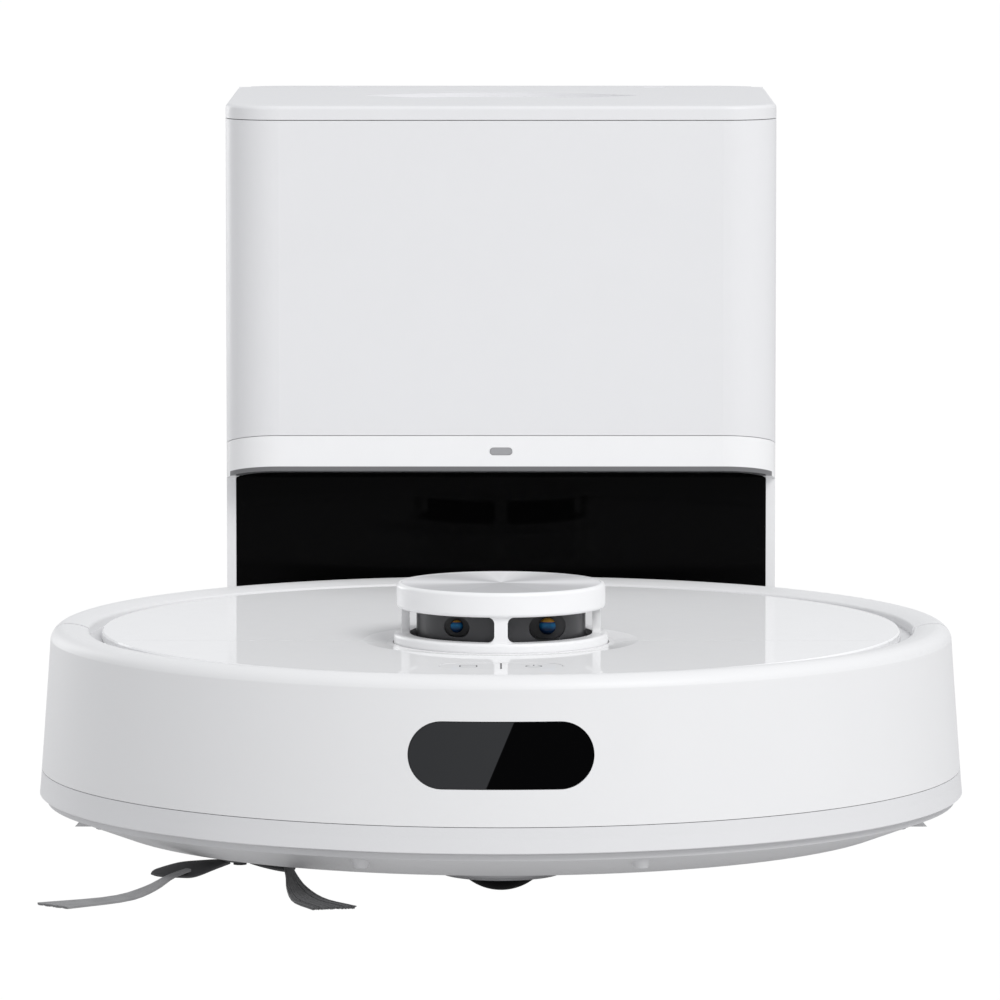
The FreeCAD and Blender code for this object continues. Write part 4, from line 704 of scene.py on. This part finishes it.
def bristle_tree():
    """Geometry Nodes: copies a guide line many times, spreads them, and gives each a round section."""
    tree = bpy.data.node_groups.new("bristle_bundle", "GeometryNodeTree")
    face = tree.interface
    face.new_socket("Geometry", in_out="INPUT", socket_type="NodeSocketGeometry")
    names = {}
    for name, kind in (("Strands", "NodeSocketInt"), ("Seed", "NodeSocketInt"),
                       ("Root Width", "NodeSocketFloat"), ("Tip Width", "NodeSocketFloat"),
                       ("Depth", "NodeSocketFloat"), ("Strand Radius", "NodeSocketFloat"),
                       ("Across", "NodeSocketVector"), ("Material", "NodeSocketMaterial")):
        names[name] = face.new_socket(name, in_out="INPUT", socket_type=kind).identifier
    face.new_socket("Geometry", in_out="OUTPUT", socket_type="NodeSocketGeometry")
    new = tree.nodes.new
    link = tree.links.new
    source = new("NodeGroupInput")
    sink = new("NodeGroupOutput")
    copies = new("GeometryNodeDuplicateElements")
    copies.domain = "SPLINE"
    link(source.outputs["Geometry"], copies.inputs["Geometry"])
    link(source.outputs["Strands"], copies.inputs["Amount"])
    along = new("GeometryNodeSplineParameter")

    def spread(extra):
        pick = new("FunctionNodeRandomValue")
        pick.data_type = "FLOAT"
        pick.inputs[2].default_value = -1.0
        pick.inputs[3].default_value = 1.0
        shift = new("ShaderNodeMath")
        shift.operation = "ADD"
        shift.inputs[1].default_value = extra
        link(source.outputs["Seed"], shift.inputs[0])
        link(store.outputs["Value"], pick.inputs["ID"])
        link(shift.outputs[0], pick.inputs["Seed"])
        return pick.outputs[1]

    def product(a, b):
        made = new("ShaderNodeMath")
        made.operation = "MULTIPLY"
        link(a, made.inputs[0])
        link(b, made.inputs[1])
        return made.outputs[0]

    store = new("GeometryNodeCaptureAttribute")
    store.domain = "CURVE"
    store.capture_items.new("INT", "Value")
    link(copies.outputs["Geometry"], store.inputs["Geometry"])
    link(copies.outputs["Duplicate Index"], store.inputs["Value"])
    ease = new("ShaderNodeMath")
    ease.operation = "POWER"
    ease.inputs[1].default_value = 1.5
    link(along.outputs["Factor"], ease.inputs[0])
    width = new("ShaderNodeMapRange")
    link(ease.outputs[0], width.inputs["Value"])
    link(source.outputs["Root Width"], width.inputs["To Min"])
    link(source.outputs["Tip Width"], width.inputs["To Max"])
    sideways = new("ShaderNodeVectorMath")
    sideways.operation = "SCALE"
    link(source.outputs["Across"], sideways.inputs[0])
    link(product(spread(0), width.outputs[0]), sideways.inputs["Scale"])
    rise = new("ShaderNodeCombineXYZ")
    link(product(spread(7), source.outputs["Depth"]), rise.inputs["Z"])
    total = new("ShaderNodeVectorMath")
    total.operation = "ADD"
    link(sideways.outputs[0], total.inputs[0])
    link(rise.outputs[0], total.inputs[1])
    move = new("GeometryNodeSetPosition")
    link(store.outputs["Geometry"], move.inputs["Geometry"])
    link(total.outputs[0], move.inputs["Offset"])
    ring = new("GeometryNodeCurvePrimitiveCircle")
    ring.inputs["Resolution"].default_value = 5
    link(source.outputs["Strand Radius"], ring.inputs["Radius"])
    solid = new("GeometryNodeCurveToMesh")
    solid.inputs["Fill Caps"].default_value = True
    link(move.outputs["Geometry"], solid.inputs["Curve"])
    link(ring.outputs["Curve"], solid.inputs["Profile Curve"])
    real = new("GeometryNodeRealizeInstances")
    link(solid.outputs["Mesh"], real.inputs["Geometry"])
    paint = new("GeometryNodeSetMaterial")
    link(real.outputs["Geometry"], paint.inputs["Geometry"])
    link(source.outputs["Material"], paint.inputs["Material"])
    link(paint.outputs["Geometry"], sink.inputs[0])
    return tree, names


def tuft(tree, names, knots, across, root, tip, depth, seed, paint):
    """Plain mesh of one bundle of bristles along knots; root and tip are its half widths there."""
    path = place(curve_through(knots, 15))
    curve = bpy.data.curves.new("guide", "CURVE")
    curve.dimensions = "3D"
    line = curve.splines.new("POLY")
    line.points.add(len(path) - 1)
    for point, where in zip(line.points, path):
        point.co = (*where, 1)
    guide = bpy.data.objects.new("guide", curve)
    bpy.context.scene.collection.objects.link(guide)
    modifier = guide.modifiers.new("bristles", "NODES")
    modifier.node_group = tree
    length = math.sqrt(sum(c * c for c in across))
    values = {"Strands": STRANDS, "Seed": seed, "Root Width": root * MM, "Tip Width": tip * MM,
              "Depth": depth * MM, "Strand Radius": STRAND_R * MM, "Across": [c / length for c in across],
              "Material": paint}
    for name, value in values.items():
        modifier[names[name]] = value
    guide.update_tag()
    bpy.context.view_layer.update()
    mesh = bpy.data.meshes.new_from_object(guide.evaluated_get(bpy.context.evaluated_depsgraph_get()))
    bpy.data.objects.remove(guide)
    return mesh


def side_brush_blades():
    """Thin hub and two tilted rubber blades."""
    x, y = BRUSH_X, BRUSH_Y
    top = cad("side_brush_hub")[1].z
    hub = disc_solid([(2.6, top), (2.6, top - 1.0), (5.0, top - 1.2), (6.2, top - 0.9), (6.6, top - 0.4),
                      (6.2, top), (2.6, top)], (x, y))
    left = blade([(x - 4.4, y + 0.5, 7.6), (x - 9.5, y + 0.5, 6.6), (x - 18.5, y - 4.0, 5.3),
                  (x - 24.5, y - 8.5, 5.2), (x - 32.5, y - 13.5, 5.0)],
                 [(0.3, -1.0, 0.0), (0.35, -0.9, -0.3), (0.5, -0.8, -0.5), (0.5, -0.9, -0.42),
                  (0.5, -0.9, -0.3)],
                 [3.0, 3.4, 4.8, 4.4, 1.9], BLADE_T)
    right = blade([(x + 4.4, y + 1, 7.6), (x + 8, y + 2.5, 6.8), (x + 15, y + 1.5, 6.0),
                   (x + 20.5, y - 2, 5.2)],
                  [(-0.2, -1.0, 0.0), (-0.2, -0.9, -0.15), (-0.3, -0.8, -0.35), (-0.4, -0.8, -0.4)],
                  [3.0, 3.6, 3.6, 2.4], BLADE_T)
    points, faces = joined(hub, left, right)
    mesh_piece("side_brush_blades", points, faces, PADDLE_RUBBER, "side_brush", "side_brush_hub")


def side_brush_bundles():
    """Both bristle bundles, bent outwards by the floor; the right one is the darker."""
    tree, names = bristle_tree()
    first = tuft(tree, names, [(-116, -109.5, 5.6), (-122.5, -119.5, 4.3), (-129, -139, 2.9),
                               (-139.5, -155, 1.6), (-163, -167.5, 0.9)],
                 (0.72, -0.62, 0), 1.3, 7.6, 0.4, 3, BRISTLE)
    second = tuft(tree, names, [(-79, -104.5, 5.6), (-77.5, -117, 4.3), (-75, -138, 2.9),
                                (-70, -159, 1.7), (-60.5, -172.5, 0.9)],
                  (0.97, 0.22, 0), 1.6, 8.2, 0.5, 11, BRISTLE_DARK)
    for part in second.polygons:
        part.material_index = 1
    both = bmesh.new()
    both.from_mesh(first)
    both.from_mesh(second)
    mesh = bpy.data.meshes.new("side_brush_bundles")
    both.to_mesh(mesh)
    both.free()
    mesh.materials.append(BRISTLE)
    mesh.materials.append(BRISTLE_DARK)
    mesh.shade_smooth()
    link_piece(mesh, "side_brush", "side_brush_bristles")


def led_line():
    """Light bar that fills its slot, so that no gap shows beside its line."""
    low, high = cad("led_bar")
    sides = (low.x - LED_GROW, high.x + LED_GROW)
    corners = [(x, y, z) for x in sides for y in (low.y, high.y) for z in (low.z, high.z)]
    faces = [(0, 1, 3, 2), (4, 6, 7, 5), (0, 4, 5, 1), (2, 3, 7, 6), (0, 2, 6, 4), (1, 5, 7, 3)]
    mesh_piece("led_line", corners, faces, LED_BAR, "robot", "led_bar", smooth=False)


def trimmed_fork():
    """Caster fork whose lower lip is cut back, so that the roller shows below it."""
    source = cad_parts["caster_fork"]
    mesh = source.data.copy()
    mesh.transform(source.matrix_world)
    y = CASTER_Y * MM + AXIS_Y
    spread = LIP_NEW_R / LIP_OLD_R
    for v in mesh.vertices:
        if v.co.z < LIP_Z * MM:
            if math.hypot(v.co.x, v.co.y - y) > (LIP_OLD_R - 0.5) * MM:
                v.co.x *= spread
                v.co.y = y + (v.co.y - y) * spread
            v.co.z = LIP_Z * MM
    built = bmesh.new()
    built.from_mesh(mesh)
    bmesh.ops.remove_doubles(built, verts=built.verts, dist=1e-6)
    bmesh.ops.dissolve_degenerate(built, edges=built.edges, dist=1e-6)
    built.to_mesh(mesh)
    built.free()
    mesh.materials.clear()
    mesh.materials.append(FORK_GREY)
    mesh.shade_smooth()
    mesh.set_sharp_from_angle(angle=math.radians(30))
    mesh.name = "caster_fork_lip"
    link_piece(mesh, "caster_swivel", "caster_fork")


def soft_skin(node, body, paint, voxel_mm, rounds, swell):
    """Soft piece from a CAD solid's outer shape: even small faces, eased edges, and swell() as relief."""
    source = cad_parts[node]
    mesh = source.data.copy()
    work = bpy.data.objects.new("work", mesh)
    bpy.context.scene.collection.objects.link(work)
    work.matrix_world = source.matrix_world.copy()
    even = work.modifiers.new("even", "REMESH")
    even.mode = "VOXEL"
    even.voxel_size = voxel_mm * MM
    bpy.context.view_layer.update()
    skin = bpy.data.meshes.new_from_object(work.evaluated_get(bpy.context.evaluated_depsgraph_get()))
    skin.transform(work.matrix_world)
    bpy.data.objects.remove(work)
    built = bmesh.new()
    built.from_mesh(skin)
    for _ in range(rounds):
        bmesh.ops.smooth_vert(built, verts=built.verts, factor=0.5, use_axis_x=True, use_axis_y=True,
                              use_axis_z=True)
    built.normal_update()
    shifts = [swell(v.co, v.normal) for v in built.verts]
    for v, shift in zip(built.verts, shifts):
        v.co += v.normal * shift
    built.to_mesh(skin)
    built.free()
    skin.materials.clear()
    skin.materials.append(paint)
    skin.name = node + "_soft"
    skin.shade_smooth()
    return link_piece(skin, body, node)


def mop_pad():
    """Looped cloth pad with an uneven, tufted face."""
    def swell(co, normal):
        tuftiness = noise.noise(co * 420.0) * 0.12 + noise.noise(co * 60.0) * 0.12
        return (tuftiness - 0.14) * MM

    cloth = soft_skin("mop_cloth", "robot", CLOTH, 1.3, 1, swell)


def dust_bag():
    """Paper bag with creased sides, top and bottom; its mouth and back have only fine folds."""
    def swell(co, normal):
        crease = abs(noise.noise(Vector((co.x * 9.0, co.y * 14.0, co.z * 26.0)))) * 3.2
        fold = abs(noise.noise(Vector((co.x * 34.0, co.y * 34.0, co.z * 12.0)))) * 1.2
        return -(crease + fold) * MM if abs(normal.y) < 0.9 else -fold * MM

    bag = soft_skin("dust_bag", "dock", PAPER, 2.6, 3, swell)


paint_cad_nodes()
make_camera()
make_studio()
make_floor()
side_brush_blades()
side_brush_bundles()
led_line()
trimmed_fork()
mop_pad()
dust_bag()
